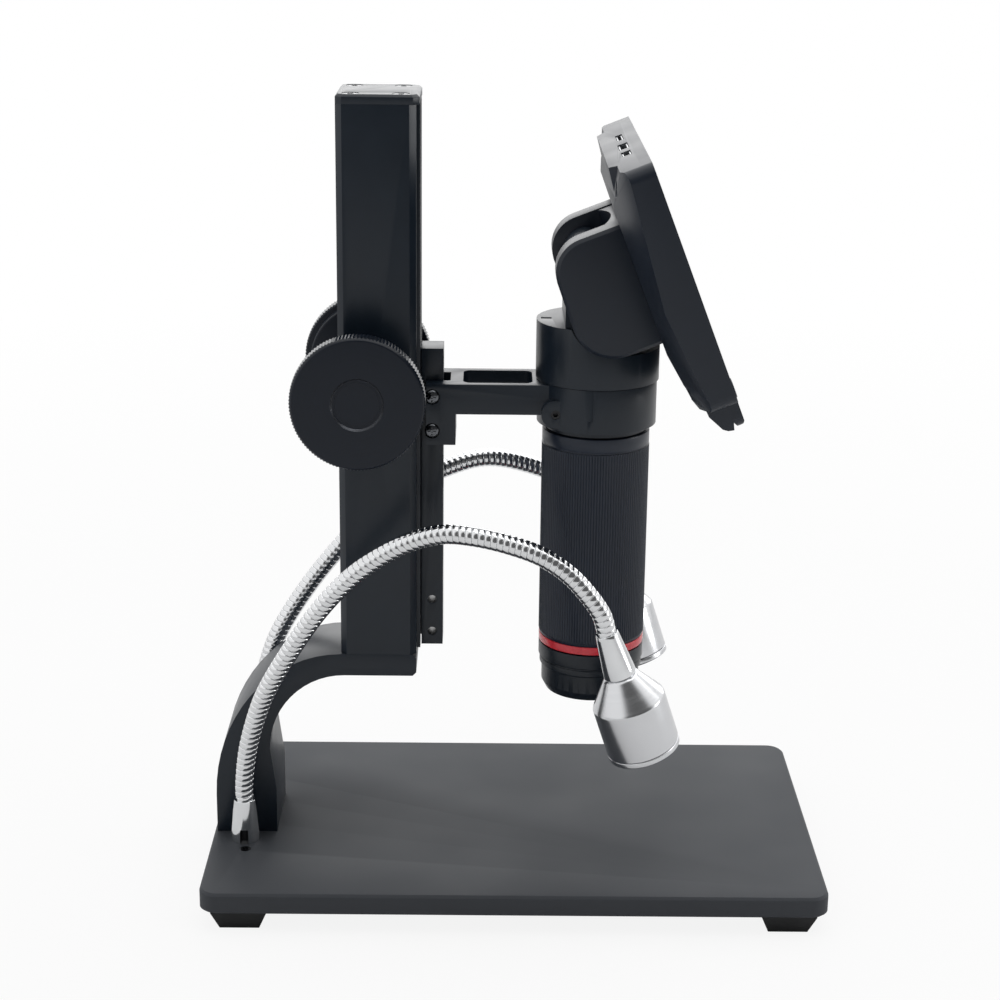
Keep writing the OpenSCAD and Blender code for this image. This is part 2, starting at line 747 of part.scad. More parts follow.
module scope_tube() color("#1c1e21") translate([tube_x, 0, 0]) rotate_extrude($fn = 96) polygon([
    [tube_bore_r, nose_z + 5], [inner_tube_r, nose_z + 5], [inner_tube_r, barrel_top + side_gap],
    [tube_r, barrel_top + side_gap], [tube_r, head_z + 4], [tube_bore_r, head_z + 4]]);

module focus_barrel() color("#1b1d20") translate([tube_x, 0, 0]) difference() {
    union() {
        translate([0, 0, barrel_z + 1.2]) linear_extrude(barrel_length - collar_height - 1.2 - groove)
            polygon(rib_ring(barrel_r, rib_depth, barrel_ribs));
        translate([0, 0, barrel_z]) cylinder(r = barrel_r - 0.2, h = 1.3);
        translate([0, 0, barrel_top - collar_height - groove - 0.1])
            cylinder(r = barrel_r - rib_depth - 0.1, h = groove + 0.2);
        translate([0, 0, barrel_top - collar_height]) cylinder(r = barrel_r - 0.1, h = collar_height, $fn = 96);
        translate([0, 0, red_z]) cylinder(r = barrel_r - 1.1, h = red_height + side_gap + 0.1);
    }
    translate([0, 0, red_z - over]) cylinder(r = inner_tube_r + fit, h = barrel_length + 10, $fn = 96);
}

module red_ring() color("#d8323c") translate([tube_x, 0, red_z + 0.15]) difference() {
    cylinder(r = barrel_r - 0.1, h = red_height, $fn = 96);
    translate([0, 0, -over]) cylinder(r = barrel_r - 1.1 + seat, h = red_height + 2 * over, $fn = 96);
}

module lens_nose() color("#202226") translate([tube_x, 0, 0]) rotate_extrude($fn = 96) {
    r = barrel_r - 0.1;
    polygon([
        [inner_tube_r + seat, nose_top], [r, nose_top], [r, nose_top - 4.6], [r - 0.7, nose_top - 4.9],
        [r - 0.7, nose_top - 5.4], [r - 0.4, nose_top - 5.5], [r - 0.4, nose_top - 7.4],
        [r - 1.1, nose_top - 7.8], [r - 1.1, nose_z + 2.8], [r - 2.6, nose_z],
        [nose_bore_d / 2 + 2.2, nose_z], [nose_bore_d / 2, nose_z + 2.2],
        [nose_bore_d / 2, nose_z + 4.7], [inner_tube_r + seat, nose_z + 4.7]]);
}

module objective_lens() color("#a9c6d8") translate([tube_x, 0, nose_z + 2.6]) intersection() {
    cylinder(d = nose_bore_d - 2 * seat, h = 2.4);
    translate([0, 0, 2.4 - 30]) sphere(r = 30, $fn = 96);
}

module lens_cell() color("#55585c") translate([tube_x, 0, cell_z]) difference() {
    cylinder(r = tube_bore_r - fit, h = cell_length, $fn = 96);
    translate([0, 0, -over]) cylinder(d = 18, h = cell_length + 2 * over);
    translate([0, 0, 4]) cylinder(d = cell_lens_d + 0.1, h = cell_length);
}

module cell_lens() color("#a9c6d8") translate([tube_x, 0, cell_z + 4.05]) intersection() {
    cylinder(d = cell_lens_d, h = cell_lens_thick);
    translate([0, 0, cell_lens_thick - cell_lens_r]) sphere(r = cell_lens_r, $fn = 96);
}

module head_block() color("#1f2226") difference() {
    union() {
        translate([tube_x, 0, head_z]) cylinder(r = head_r, h = head_height, $fn = 96);
        across(tongue_width) {
            translate([hinge_x, hinge_z]) circle(r = tongue_r);
            translate([hinge_x - tongue_r, floor_z]) square([tongue_thick, hinge_z - floor_z]);
        }
    }
    // Pocket that the cheeks nest in, on each side of the tongue
    both_sides() translate([0, tongue_width / 2, 0]) {
        translate([pocket_mid()[0], 0, pocket_mid()[1]])
            rod_y(2 * (cheek_lower_r + pocket_gap), 0, head_d);
        translate([pocket_mid()[0], 0, pocket_mid()[1] - cheek_lower_r - pocket_gap])
            cube([head_d, head_d, 2 * head_height]);
    }
    // Open shoulder in front of the tongue
    translate([hinge_x + tongue_r, -head_d, floor_z]) cube([head_d, 2 * head_d, 2 * head_height]);
    // Bay for the tube and the camera board
    translate([tube_x, 0, head_z - over]) cylinder(r = tube_r + seat, h = 4.1 + over, $fn = 96);
    translate([tube_x, 0, head_z]) cylinder(r = tube_bore_r, h = head_floor - 2);
    translate([hinge_x, 0, hinge_z]) {
        rod_y(stud_d + 2 * seat, -tongue_width, -stud_in);
        rod_y(stud_d + 2 * seat, stud_in, tongue_width);
        rod_y(washer_d + 0.2, tongue_width / 2 - washer_sink, tongue_width);
        rod_y(washer_d + 0.2, -tongue_width, washer_sink - tongue_width / 2);
    }
    // Small slot in the ledge
    translate([tube_x - head_r + 1.4, -1, ledge_z - 1]) cube([3.4, 2, 1 + over]);
}

// Centre of the cheek's lower corner with the screen at rest
function pocket_mid() = [
    hinge_x + cheek_low[0] * cos(screen_lean) - cheek_low[1] * sin(screen_lean),
    hinge_z + cheek_low[0] * sin(screen_lean) + cheek_low[1] * cos(screen_lean)];

module sensor_board() {
    color("#1f5a3a") translate([tube_x - 9, -9, head_z + 4.2]) cube([18, 18, board_thick]);
    color("#33363a") translate([tube_x - 4, -4, head_z + 3.1]) cube([8, 8, 1.2]);
}

module hinge_studs() color("#a9abae") both_sides() translate([hinge_x, 0, hinge_z])
    rod_y(stud_d, stud_in + 0.1, stud_out);

module hinge_washers() color("#c9cbce") both_sides() translate([hinge_x, 0, hinge_z]) difference() {
    rod_y(washer_d, tongue_width / 2 - washer_sink + seat, tongue_width / 2 - washer_sink + washer_thick);
    rod_y(stud_d + 2 * seat, 0, tongue_width);
}

// ---- Screen ----

// Puts its children in the screen's frame: x forward, z up along the screen
module on_screen() {
    translate([hinge_x, 0, hinge_z]) rotate([0, -screen_lean, 0]) children();
}

function cheek_outline(inset) = concat(
    [[screen_back, cheek_upper_r - inset]],
    arc(0, 0, cheek_upper_r - inset, cheek_upper_r - inset, 90, 176, 10),
    arc(cheek_low[0], cheek_low[1], cheek_lower_r - inset, cheek_lower_r - inset, 182, 270, 12),
    [[screen_back, -cheek_drop + inset]]);

module hinge_clevis() color("#23262b") on_screen() difference() {
    union() {
        both_sides() hull() {
            translate([0, (cheek_in + cheek_out - 1) / 2, 0]) across(cheek_thick - 1)
                polygon(cheek_outline(0));
            translate([0, (cheek_in + cheek_out) / 2, 0]) across(cheek_thick)
                polygon(cheek_outline(1.1));
        }
        // Web between the cheeks, hollowed in a curve towards the tongue
        difference() {
            translate([web_edge - 0.7, -cheek_in - 1, -cheek_drop + 0.4])
                cube([screen_back - web_edge + 0.7, 2 * cheek_in + 2, cheek_drop + cheek_upper_r - 0.8]);
            translate([screen_back - web_thin - web_r, 0, -cheek_drop - over])
                cylinder(r = web_r, h = cheek_drop + cheek_upper_r + 2 * over, $fn = 96);
        }
    }
    rod_y(stud_d + 2 * fit, -stud_out - side_gap, stud_out + side_gap);
    both_sides() for (z = [5, cheek_low[1] - 6])
        translate([screen_back - 8, (cheek_in + cheek_out) / 2, z]) rotate([0, 90, 0])
            cylinder(d = 2.5, h = 9);
}

module clevis_screws() color("#8a8c90") on_screen() both_sides() for (z = [5, cheek_low[1] - 6])
    translate([screen_back, (cheek_in + cheek_out) / 2, z]) rotate([0, 90, 0]) {
        translate([0, 0, -7]) cylinder(d = 2.4, h = 7 + shell_wall + 0.2);
        translate([0, 0, shell_wall + seat]) cylinder(d = 4.4, h = 1.3);
    }

// Half-space behind the plane x = point x + across * (y - point y) + along * (z - point z)
module behind_plane(point, across, along) {
    translate(point)
        rotate([0, asin(along / sqrt(1 + across * across + along * along)), -atan(across)])
            translate([-2 * screen_front, -screen_width, -screen_width])
                cube([2 * screen_front, 2 * screen_width, 2 * screen_width]);
}

// Outside of the back shell, or its inside where inset is the wall
module shell_form(inset) {
    half = screen_width / 2 - inset;
    top = screen_above - inset;
    low = screen_low + inset;
    front = seam_x + (inset > 0 ? over : 0);
    back = screen_back + inset;
    difference() {
        intersection() {
            rotate([0, 90, 0]) linear_extrude(front)
                translate([-(top + low) / 2, 0]) polygon(round_rect(top - low, 2 * half, screen_corner));
            across(screen_width) polygon([[front, top], [back + 5.4, top], [back, top - 11.5],
                [back, low + 18], [back + 2.3, low + 3], [back + 3.6, low], [front, low]]);
        }
        // Slopes at the ends, in two planes that meet in a shallow ridge
        both_sides() {
            behind_plane([back + end_rise, half, end_ridge], end_slope, end_upper);
            behind_plane([back + end_rise, half, end_ridge], end_slope, -end_lower);
        }
    }
    // Raised middle of the back
    intersection() {
        across(screen_width) polygon([[front, top], [back + 2.8, top], [back, top - 24],
            [back, low + 18], [front, low + 18]]);
        translate([0, 0, low]) linear_extrude(top - low)
            polygon([[front, 38.5], [back + 6, 38.5], [back, 32.5], [back, -32.5], [back + 6, -38.5],
                [front, -38.5]]);
    }
}

module port_places(side_y, w, t) {
    translate([port_x - t / 2, side_y - w / 2, screen_above - port_depth])
        cube([t, w, port_depth + over]);
}

usb_y = -21.5;
hdmi_y = -6;
card_y = 14;
usb_size = [7.6, 2.6];
hdmi_size = [10.6, 2.8];
card_size = [11.5, 1.8];

module back_shell() color("#2c2f34") on_screen() difference() {
    union() {
        shell_form(0);
        across(2 * lip_half) polygon([
            [screen_back + 5, screen_low + 2], [screen_back + 5.4, screen_low - 2.5],
            [screen_back + 8, lip_z + 1.4], [screen_back + 9.4, lip_z + 0.4],
            [seam_x - 0.6, lip_z], [seam_x, lip_z + 2.2], [seam_x, screen_low + 2]]);
    }
    difference() {
        shell_form(shell_wall);
        both_sides() for (z = screw_rows) translate([screen_back, screw_half, z]) rotate([0, 90, 0])
            cylinder(d = 6.6, h = seam_x - screen_back);
    }
    // Room behind the buttons, inside the lip
    across(2 * lip_half - 6) polygon([
        [screen_back + 7.3, screen_low + 3], [screen_back + 7.5, lip_z + 4.6],
        [screen_back + 9.5, lip_z + 2.2], [seam_x + over, lip_z + 2.2], [seam_x + over, screen_low + 3]]);
    port_places(usb_y, usb_size[0] + 0.4, usb_size[1] + 0.4);
    port_places(hdmi_y, hdmi_size[0] + 0.4, hdmi_size[1] + 0.4);
    port_places(card_y, card_size[0] + 0.4, card_size[1] + 0.4);
    both_sides() for (z = [5, cheek_low[1] - 6])
        translate([screen_back - over, (cheek_in + cheek_out) / 2, z])
            rotate([0, 90, 0]) cylinder(d = 2.8, h = shell_wall + 2 * over);
    both_sides() for (z = screw_rows) translate([screen_back, screw_half, z]) rotate([0, 90, 0]) {
        cylinder(d = 4.6, h = screw_seat - screen_back);
        cylinder(d = 2.4, h = screen_front);
    }
}

module front_bezel() color("#2a2d32") on_screen() difference() {
    rotate([0, 90, 0]) translate([0, 0, seam_x]) linear_extrude(bezel_thick) {
        translate([-(screen_above + screen_low) / 2, 0])
            polygon(round_rect(screen_height, screen_width, screen_corner));
        translate([-(lip_z + lip_drop / 2 + 4), 0])
            polygon(round_rect(lip_drop + 8, 2 * lip_half, 3.9));
    }
    // Groove along the seam under the lip, and the lip's rounded lower edge
    across(screen_width) polygon([[seam_x - over, lip_z - over], [seam_x + 1.2, lip_z - over],
        [seam_x, lip_z + 2.2], [seam_x - over, lip_z + 2.2]]);
    across(screen_width) polygon([[screen_front + over, lip_z - over], [screen_front - 1.6, lip_z - over],
        [screen_front - 1.6, lip_z], [screen_front - 0.5, lip_z + 0.5], [screen_front, lip_z + 1.6],
        [screen_front + over, lip_z + 1.6]]);
    translate([seam_x - over, -window_width / 2 + 3, window_z - window_height / 2 + 2])
        cube([bezel_thick + 2 * over, window_width - 6, window_height - 4]);
    translate([seam_x + glass_ledge, -window_width / 2, window_z - window_height / 2])
        cube([bezel_thick, window_width, window_height]);
    for (k = [0:len(button_names) - 1]) translate([seam_x, button_y(k), button_z]) rotate([0, 90, 0]) {
        translate([0, 0, -over]) cylinder(d = button_d + 2 * fit, h = bezel_thick + 2 * over);
        translate([0, 0, -over]) cylinder(d = button_flange_d + 0.6, h = button_sink + over);
    }
    both_sides() for (z = screw_rows) translate([seam_x - over, screw_half, z])
        rotate([0, 90, 0]) cylinder(d = 2.1, h = bezel_thick);
}

function button_y(k) = (k - (len(button_names) - 1) / 2) * button_pitch;

module screen_window() color("#0f1114") on_screen()
    translate([seam_x + glass_ledge + seat / 2, seat - window_width / 2, window_z - window_height / 2 + seat])
        cube([glass_thick, window_width - 2 * seat, window_height - 2 * seat]);

module lcd_panel() color("#2f3440") on_screen()
    translate([lcd_back, -lcd_width / 2, window_z - lcd_height / 2]) cube([lcd_thick, lcd_width, lcd_height]);

module main_board() on_screen() {
    color("#1f5a3a") translate([board_x, -board_width / 2, window_z - board_height / 2 + 2])
        cube([board_thick, board_width, board_height]);
    color("#33363a") translate([board_x - chip_thick, board_width / 4, window_z - 8])
        cube([chip_thick, chip_size, chip_size]);
}

module battery() color("#b9bcc2") on_screen()
    translate([battery_x, -battery_width / 2, -cheek_drop + 4])
        cube([battery_thick, battery_width, battery_height]);

module port_shell(side_y, size, wall) {
    translate([port_x - size[1] / 2, side_y - size[0] / 2, screen_above - port_depth + 0.1]) difference() {
        cube([size[1], size[0], port_depth - 0.4]);
        translate([wall, wall, 1]) cube([size[1] - 2 * wall, size[0] - 2 * wall, port_depth]);
    }
}

module usb_port() color("#c9cbce") on_screen() port_shell(usb_y, usb_size, 0.4);
module hdmi_port() color("#9a9ca0") on_screen() port_shell(hdmi_y, hdmi_size, 0.4);
module card_slot() color("#9a9ca0") on_screen() port_shell(card_y, card_size, 0.35);

module button_board() on_screen() {
    color("#1f5a3a") translate([button_board_x, -lip_half + 6, button_z - 2.5])
        cube([board_thick, 2 * lip_half - 12, 5.2]);
    color("#c9cbce") for (k = [0:len(button_names) - 1])
        translate([button_board_x + board_thick, button_y(k) - 2, button_z - 2]) cube([switch_height, 4, 4]);
}

module shell_screws() color("#8a8c90") on_screen() both_sides() for (z = screw_rows)
    translate([screw_seat, screw_half, z]) rotate([0, 90, 0]) {
        translate([0, 0, -1.25]) cylinder(d = 4.2, h = 1.2);
        translate([0, 0, -0.1]) cylinder(d = 2, h = seam_x + 2.2 - screw_seat);
    }

module push_button(k) color("#3a3e44") on_screen()
    translate([button_x, button_y(k), button_z]) rotate([0, 90, 0]) {
        translate([0, 0, -0.1]) cylinder(d = button_d, h = screen_front - button_x + button_travel + 0.1);
        translate([0, 0, -button_flange]) cylinder(d = button_flange_d, h = button_flange);
        translate([0, 0, -button_flange - button_stem]) cylinder(d = 2.2, h = button_stem + 0.1);
    }

module power_button() push_button(0);
module menu_button() push_button(1);
module up_button() push_button(2);
module down_button() push_button(3);
module ok_button() push_button(4);

// ---- Lamps ----

// Puts its children in a lamp's frame: z runs from the rim's centre up to the neck
module at_lamp(rim, side) {
    translate(rim) rotate([-side * lamp_lean, 0, 0]) rotate([0, -lamp_tilt, 0]) children();
}

function lamp_axis(side) = let (c = cos(lamp_tilt))
    [-sin(lamp_tilt), side * sin(lamp_lean) * c, cos(lamp_lean) * c];

module base_ferrules() color("#c4c6c9")
    both_sides() translate([ferrule_x, lamp_base_y, plate_top]) difference() {
        rotate_extrude() polygon([[neck_bore_d / 2, 0], [4.75, 0], [4.75, 3.4],
            [neck_r + 0.9, base_ferrule_height - 3], [neck_r + 0.3, base_ferrule_height],
            [neck_bore_d / 2, base_ferrule_height]]);
        translate([-1.5, 3.3, -over]) cube([3, 3, 5 + over]);
    }

// A point on the smooth curve through a route's points
function on_curve(p, u) = let (n = len(p) - 1, k = min(floor(u), n - 1), t = u - k,
    a = p[max(k - 1, 0)], b = p[k], c = p[k + 1], d = p[min(k + 2, n)])
    (2 * b + (c - a) * t + (2 * a - 5 * b + 4 * c - d) * t * t + (3 * b - a - 3 * c + d) * t * t * t) / 2;

function run_lengths(q, i = 1, sum = 0, out = [0]) = i >= len(q) ? out :
    let (s = sum + norm(q[i] - q[i - 1])) run_lengths(q, i + 1, s, concat(out, [s]));

function at_length(table, s) = [lookup(s, table[0]), lookup(s, table[1]), lookup(s, table[2])];

function neck_table(route) = let (
    n = (len(route) - 1) * route_steps,
    q = [for (i = [0:n]) on_curve(route, i / route_steps)],
    s = run_lengths(q))
    [for (axis = [0:2]) [for (i = [0:n]) [s[i], q[i][axis]]]];

function ring_points(table, s, r) = let (
    c = at_length(table, s), d = at_length(table, s + 0.6) - at_length(table, s - 0.6),
    t = d / norm(d), a0 = cross([0, 1, 0], t), a = a0 / norm(a0), b = cross(t, a))
    [for (k = [0:neck_sides - 1]) c + r * (cos(360 * k / neck_sides) * a + sin(360 * k / neck_sides) * b)];

// An unbroken ribbed tube with a bore: two rings to a rib, straight plain ends
module ribbed_neck(route) {
    table = neck_table(route);
    last = len(table[0]) - 1;
    total = table[0][last][0];
    plain = neck_d / 2;
    count = floor((total - 2 * plain) / neck_pitch);
    pitch = (total - 2 * plain) / count;
    outer = concat([[0, 0]],
        [for (i = [0:2 * count]) [plain + i * pitch / 2, i % 2]], [[total, 0]]);
    bore_count = ceil(total / bore_step);
    outer_points = [for (o = outer) each ring_points(table, o[0], neck_r - (o[1] == 1 ? 0 : 0.45))];
    bore_points = [for (i = [0:bore_count]) each ring_points(table, total * i / bore_count, neck_bore_d / 2)];
    m = len(outer);
    f = neck_sides;
    first = m * f;
    end = (m - 1) * f;
    inner_end = first + bore_count * f;
    faces = concat(
        [for (j = [0:m - 2], k = [0:f - 1]) let (a = j * f + k, b = j * f + (k + 1) % f)
            each [[a, a + f, b + f], [a, b + f, b]]],
        [for (j = [0:bore_count - 1], k = [0:f - 1]) let (a = first + j * f + k, b = first + j * f + (k + 1) % f)
            each [[a, b, b + f], [a, b + f, a + f]]],
        [for (k = [0:f - 1]) let (n = (k + 1) % f)
            each [[k, n, first + n], [k, first + n, first + k]]],
        [for (k = [0:f - 1]) let (n = (k + 1) % f)
            each [[end + n, end + k, inner_end + k], [end + n, inner_end + k, inner_end + n]]]);
    echo(gooseneck_length = total, ribs = count);
    polyhedron(points = concat(outer_points, bore_points), faces = faces);
}

function full_route(middle, side, rim) = let (
    start = [ferrule_x, side * lamp_base_y, neck_start],
    axis = lamp_axis(side),
    end = rim + axis * lamp_length)
    concat([for (p = middle) start + p], [end + axis * neck_d * 1.3, end]);

module near_gooseneck() color("#d4d6d8") ribbed_neck(full_route(near_route, -1, near_lamp));
module far_gooseneck() color("#d4d6d8") ribbed_neck(full_route(far_route, 1, far_lamp));

module neck_ferrule() translate([0, 0, lamp_barrel + lamp_cone]) rotate_extrude()
    polygon([[neck_bore_d / 2, 0], [lamp_neck_r, 0], [lamp_neck_r - 0.2, 3],
        [neck_r + 0.5, neck_ferrule_length], [neck_bore_d / 2, neck_ferrule_length]]);

module neck_ferrules() color("#c4c6c9") {
    at_lamp(near_lamp, -1) neck_ferrule();
    at_lamp(far_lamp, 1) neck_ferrule();
}

module lamp_head() rotate_extrude() polygon([
    [lamp_r, rim_height + 0.2], [lamp_r, lamp_barrel], [lamp_neck_r + 0.4, lamp_barrel + lamp_cone - 0.4],
    [lamp_neck_r, lamp_barrel + lamp_cone], [neck_bore_d / 2, lamp_barrel + lamp_cone],
    [neck_bore_d / 2, lamp_barrel + 3], [lamp_r - lamp_wall - 3, lamp_barrel],
    [lamp_r - lamp_wall, lamp_barrel - 3], [lamp_r - lamp_wall, rim_height + 0.2]]);

module near_lamp_head() color("#c9cbce") at_lamp(near_lamp, -1) lamp_head();
module far_lamp_head() color("#c9cbce") at_lamp(far_lamp, 1) lamp_head();

module lamp_rim() rotate_extrude() polygon([
    [lamp_r - 3, 0], [lamp_r - 0.4, 0], [lamp_r, 0.4], [lamp_r, rim_height],
    [lamp_r - lamp_wall - seat, rim_height], [lamp_r - lamp_wall - seat, rim_height + 3],
    [lamp_r - 2.2, rim_height + 3], [lamp_r - 2.2, rim_height], [lamp_r - 3, rim_height]]);

module lamp_lens() translate([0, 0, rim_height + seat]) cylinder(r = lamp_r - 2.2 - seat, h = 1.4);

module led_board() {
    translate([0, 0, rim_height + 7.5]) cylinder(r = lamp_r - lamp_wall - seat, h = 1.2);
    for (a = [0:60:300]) rotate(a) translate([5.6, -1.4, rim_height + 6.5]) cube([2.8, 2.8, 1.1]);
}

module lamp_rims() color("#c9cbce") {
    at_lamp(near_lamp, -1) lamp_rim();
    at_lamp(far_lamp, 1) lamp_rim();
}

module lamp_lenses() color("#eef0ea") {
    at_lamp(near_lamp, -1) lamp_lens();
    at_lamp(far_lamp, 1) lamp_lens();
}

module led_boards() color("#dfe3e6") {
    at_lamp(near_lamp, -1) led_board();
    at_lamp(far_lamp, 1) led_board();
}

base_plate();
plate_screws();
rubber_feet();
foot_screws();
column_foot();
arch_screws();
column();
column_screws();
top_cap();
cap_screws();
pinion_bushes();
base_ferrules();
near_gooseneck();
far_gooseneck();
neck_ferrules();
near_lamp_head();
far_lamp_head();
lamp_rims();
lamp_lenses();
led_boards();
slide_rail();
rack();
rack_screws();
arm_bracket();
arm_screws();
clamp_screw();
pinion_shaft();
near_knob();
far_knob();
knob_caps();
scope_tube();
head_block();
sensor_board();
lens_nose();
objective_lens();
hinge_studs();
hinge_washers();
focus_barrel();
red_ring();
lens_cell();
cell_lens();
hinge_clevis();
clevis_screws();
back_shell();
front_bezel();
screen_window();
lcd_panel();
main_board();
battery();
usb_port();
hdmi_port();
card_slot();
button_board();
shell_screws();
power_button();
menu_button();
up_button();
down_button();
ok_button();
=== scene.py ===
import bpy
import bmesh
import json
import math
from mathutils import Matrix, Vector


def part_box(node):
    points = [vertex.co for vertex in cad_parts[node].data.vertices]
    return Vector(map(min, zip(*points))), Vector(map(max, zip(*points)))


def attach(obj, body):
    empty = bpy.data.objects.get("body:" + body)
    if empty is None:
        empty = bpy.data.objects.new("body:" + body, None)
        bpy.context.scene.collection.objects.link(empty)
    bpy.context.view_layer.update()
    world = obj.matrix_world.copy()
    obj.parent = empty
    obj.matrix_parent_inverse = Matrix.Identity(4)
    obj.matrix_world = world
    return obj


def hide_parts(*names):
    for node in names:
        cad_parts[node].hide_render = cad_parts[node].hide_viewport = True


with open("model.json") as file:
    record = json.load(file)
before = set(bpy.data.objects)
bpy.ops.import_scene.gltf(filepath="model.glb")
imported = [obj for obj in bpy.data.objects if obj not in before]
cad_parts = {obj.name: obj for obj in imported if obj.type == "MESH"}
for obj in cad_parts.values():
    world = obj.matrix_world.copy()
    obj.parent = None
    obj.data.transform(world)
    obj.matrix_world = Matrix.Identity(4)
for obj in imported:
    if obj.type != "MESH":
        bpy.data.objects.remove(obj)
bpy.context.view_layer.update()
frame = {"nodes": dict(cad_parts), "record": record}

mm = 0.001
weld = 0.002 * mm  # points closer than this are one
onSurface = 0.02 * mm  # points this near a radius lie on it
turnSteps = {"small": 32, "medium": 64, "large": 96}  # sides of a turned piece
bodyOf = {node: body for body, nodes in frame["record"]["behaviour"]["bodies"].items() for node in nodes}
print("frame loaded:", len(frame["nodes"]), "nodes")


# Small helpers

def colour(code):  # sRGB hex to linear
    channels = [int(code[i:i + 2], 16) / 255 for i in (0, 2, 4)]
    return [c / 12.92 if c <= 0.04045 else ((c + 0.055) / 1.055) ** 2.4 for c in channels] + [1.0]


def addNode(tree, kind, settings=None, links=None):
    made = tree.nodes.new(kind)
    for key, value in (settings or {}).items():
        if isinstance(key, str) and hasattr(made, key):
            setattr(made, key, value)
        else:
            made.inputs[key].default_value = value
    for key, socket in (links or {}).items():
        tree.links.new(socket, made.inputs[key])
    return made


def newPiece(name, bm, body, material, sharp, replaces):
    mesh = bpy.data.meshes.new(name)
    bm.to_mesh(mesh)
    bm.free()
    mesh.shade_smooth()
    mesh.set_sharp_from_angle(angle=math.radians(sharp))
    mesh.materials.append(material)
    piece = bpy.data.objects.new(name, mesh)
    bpy.context.scene.collection.objects.link(piece)
    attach(piece, body)
    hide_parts(*replaces)
    return piece


def spinProfile(bm, profile, steps, place=Matrix.Identity(4)):  # (radius, height) pairs in mm, spun round Z
    turned = bmesh.new()
    verts = [turned.verts.new((r * mm, 0, z * mm)) for r, z in profile]
    edges = [turned.edges.new(pair) for pair in zip(verts, verts[1:])]
    bmesh.ops.spin(turned, geom=verts + edges, cent=(0, 0, 0), axis=(0, 0, 1),
                   angle=math.tau, steps=steps, use_merge=True, use_duplicate=False)
    bmesh.ops.remove_doubles(turned, verts=turned.verts, dist=weld)
    bmesh.ops.recalc_face_normals(turned, faces=turned.faces)
    wrapUv(turned)
    turned.transform(place)
    mesh = bpy.data.meshes.new("turned")
    turned.to_mesh(mesh)
    turned.free()
    bm.from_mesh(mesh)
    bpy.data.meshes.remove(mesh)


def wrapUv(bm):  # u is the share of a turn, v runs along the piece in metres
    layer = bm.loops.layers.uv.verify()
    for face in bm.faces:
        middle = face.calc_center_median()
        centre = math.atan2(middle.y, middle.x)
        for loop in face.loops:
            p = loop.vert.co
            turn = math.atan2(p.y, p.x) if p.x or p.y else centre
            turn += math.tau * round((centre - turn) / math.tau)
            loop[layer].uv = (turn / math.tau, p.z + math.hypot(p.x, p.y))


def rounded(profile, radius):  # a small round at each inner point of a turned profile
    steps = 3
    shortest = 0.02  # mm, under which a corner stays as it is
    made = [profile[0]]
    for before, here, after in zip(profile, profile[1:], profile[2:]):
        a, b = Vector(before) - Vector(here), Vector(after) - Vector(here)
        cut = min(radius, a.length * 0.45, b.length * 0.45)
        if cut < shortest:
            made.append(here)
            continue
        p, q = Vector(here) + a.normalized() * cut, Vector(here) + b.normalized() * cut
        for i in range(steps + 1):
            t = i / steps
            made.append(tuple((1 - t) ** 2 * p + 2 * t * (1 - t) * Vector(here) + t * t * q))
    return made + [profile[-1]]


def acrossPlace(axis, side):  # a turned piece that lies across the stand and faces out on one side
    return Matrix.Translation(Vector(axis) * mm) @ Matrix.Rotation(math.radians(-90 * side), 4, "X")


print("helpers ready")


# Camera at the photograph's angle

view = {"place": (-10.936, -656.947, 329.702), "pitch": 0.30083, "yaw": 0.00826, "roll": 0.01155,
        "lens": 75.8, "sensor": 36}  # mm and radians


def addCamera():
    p, y, r = view["pitch"], view["yaw"], view["roll"]
    forward = Vector((math.sin(y) * math.cos(p), math.cos(y) * math.cos(p), -math.sin(p)))
    right = Vector((math.cos(y), -math.sin(y), 0))
    up = right.cross(forward)
    across = math.cos(r) * right + math.sin(r) * up
    upward = -math.sin(r) * right + math.cos(r) * up
    data = bpy.data.cameras.new("photoCamera")
    data.lens, data.sensor_width = view["lens"], view["sensor"]
    camera = bpy.data.objects.new("photoCamera", data)
    turn = Matrix((across, upward, -forward)).transposed().to_4x4()
    camera.matrix_world = Matrix.Translation(Vector(view["place"]) * mm) @ turn
    bpy.context.scene.collection.objects.link(camera)
    bpy.context.scene.camera = camera


addCamera()
print("camera placed")


# Finishes. A look gives its colours (dark, light), sizes in mm, metal, rough (low, high) and bump depth in mm

noiseSpan = (0.3, 0.7)  # where nearly all of a noise lies
bumpStrength = {"grain": 0.5, "marks": 0.4}
glassHaze = {"patch": 6, "spread": 0.04}


def startMaterial(name):
    material = bpy.data.materials.new(name)
    material.use_nodes = True
    tree = material.node_tree
    tree.nodes.clear()
    return material, tree


def shadeLook(tree, look, tones, heights, strength):
    low, high = noiseSpan
    dark, light = look["colours"]
    tone = addNode(tree, "ShaderNodeMix", {"data_type": "RGBA", 6: colour(dark), 7: colour(light)},
                   {0: tones})
    rough = addNode(tree, "ShaderNodeMapRange", {1: low, 2: high, 3: look["rough"][0], 4: look["rough"][1]},
                    {0: tones})
    bump = addNode(tree, "ShaderNodeBump", {"Strength": strength, "Distance": look["depth"] * mm},
                   {"Height": heights})
    shader = addNode(tree, "ShaderNodeBsdfPrincipled",
                     {"Metallic": look["metal"], "IOR": 1.5, "Coat Weight": look.get("coat", 0.0),
                      "Coat Roughness": 0.1, "Specular IOR Level": look.get("specular", 0.5)},
                     {"Base Color": tone.outputs[2], "Roughness": rough.outputs[0],
                      "Normal": bump.outputs[0]})
    addNode(tree, "ShaderNodeOutputMaterial", {}, {"Surface": shader.outputs[0]})


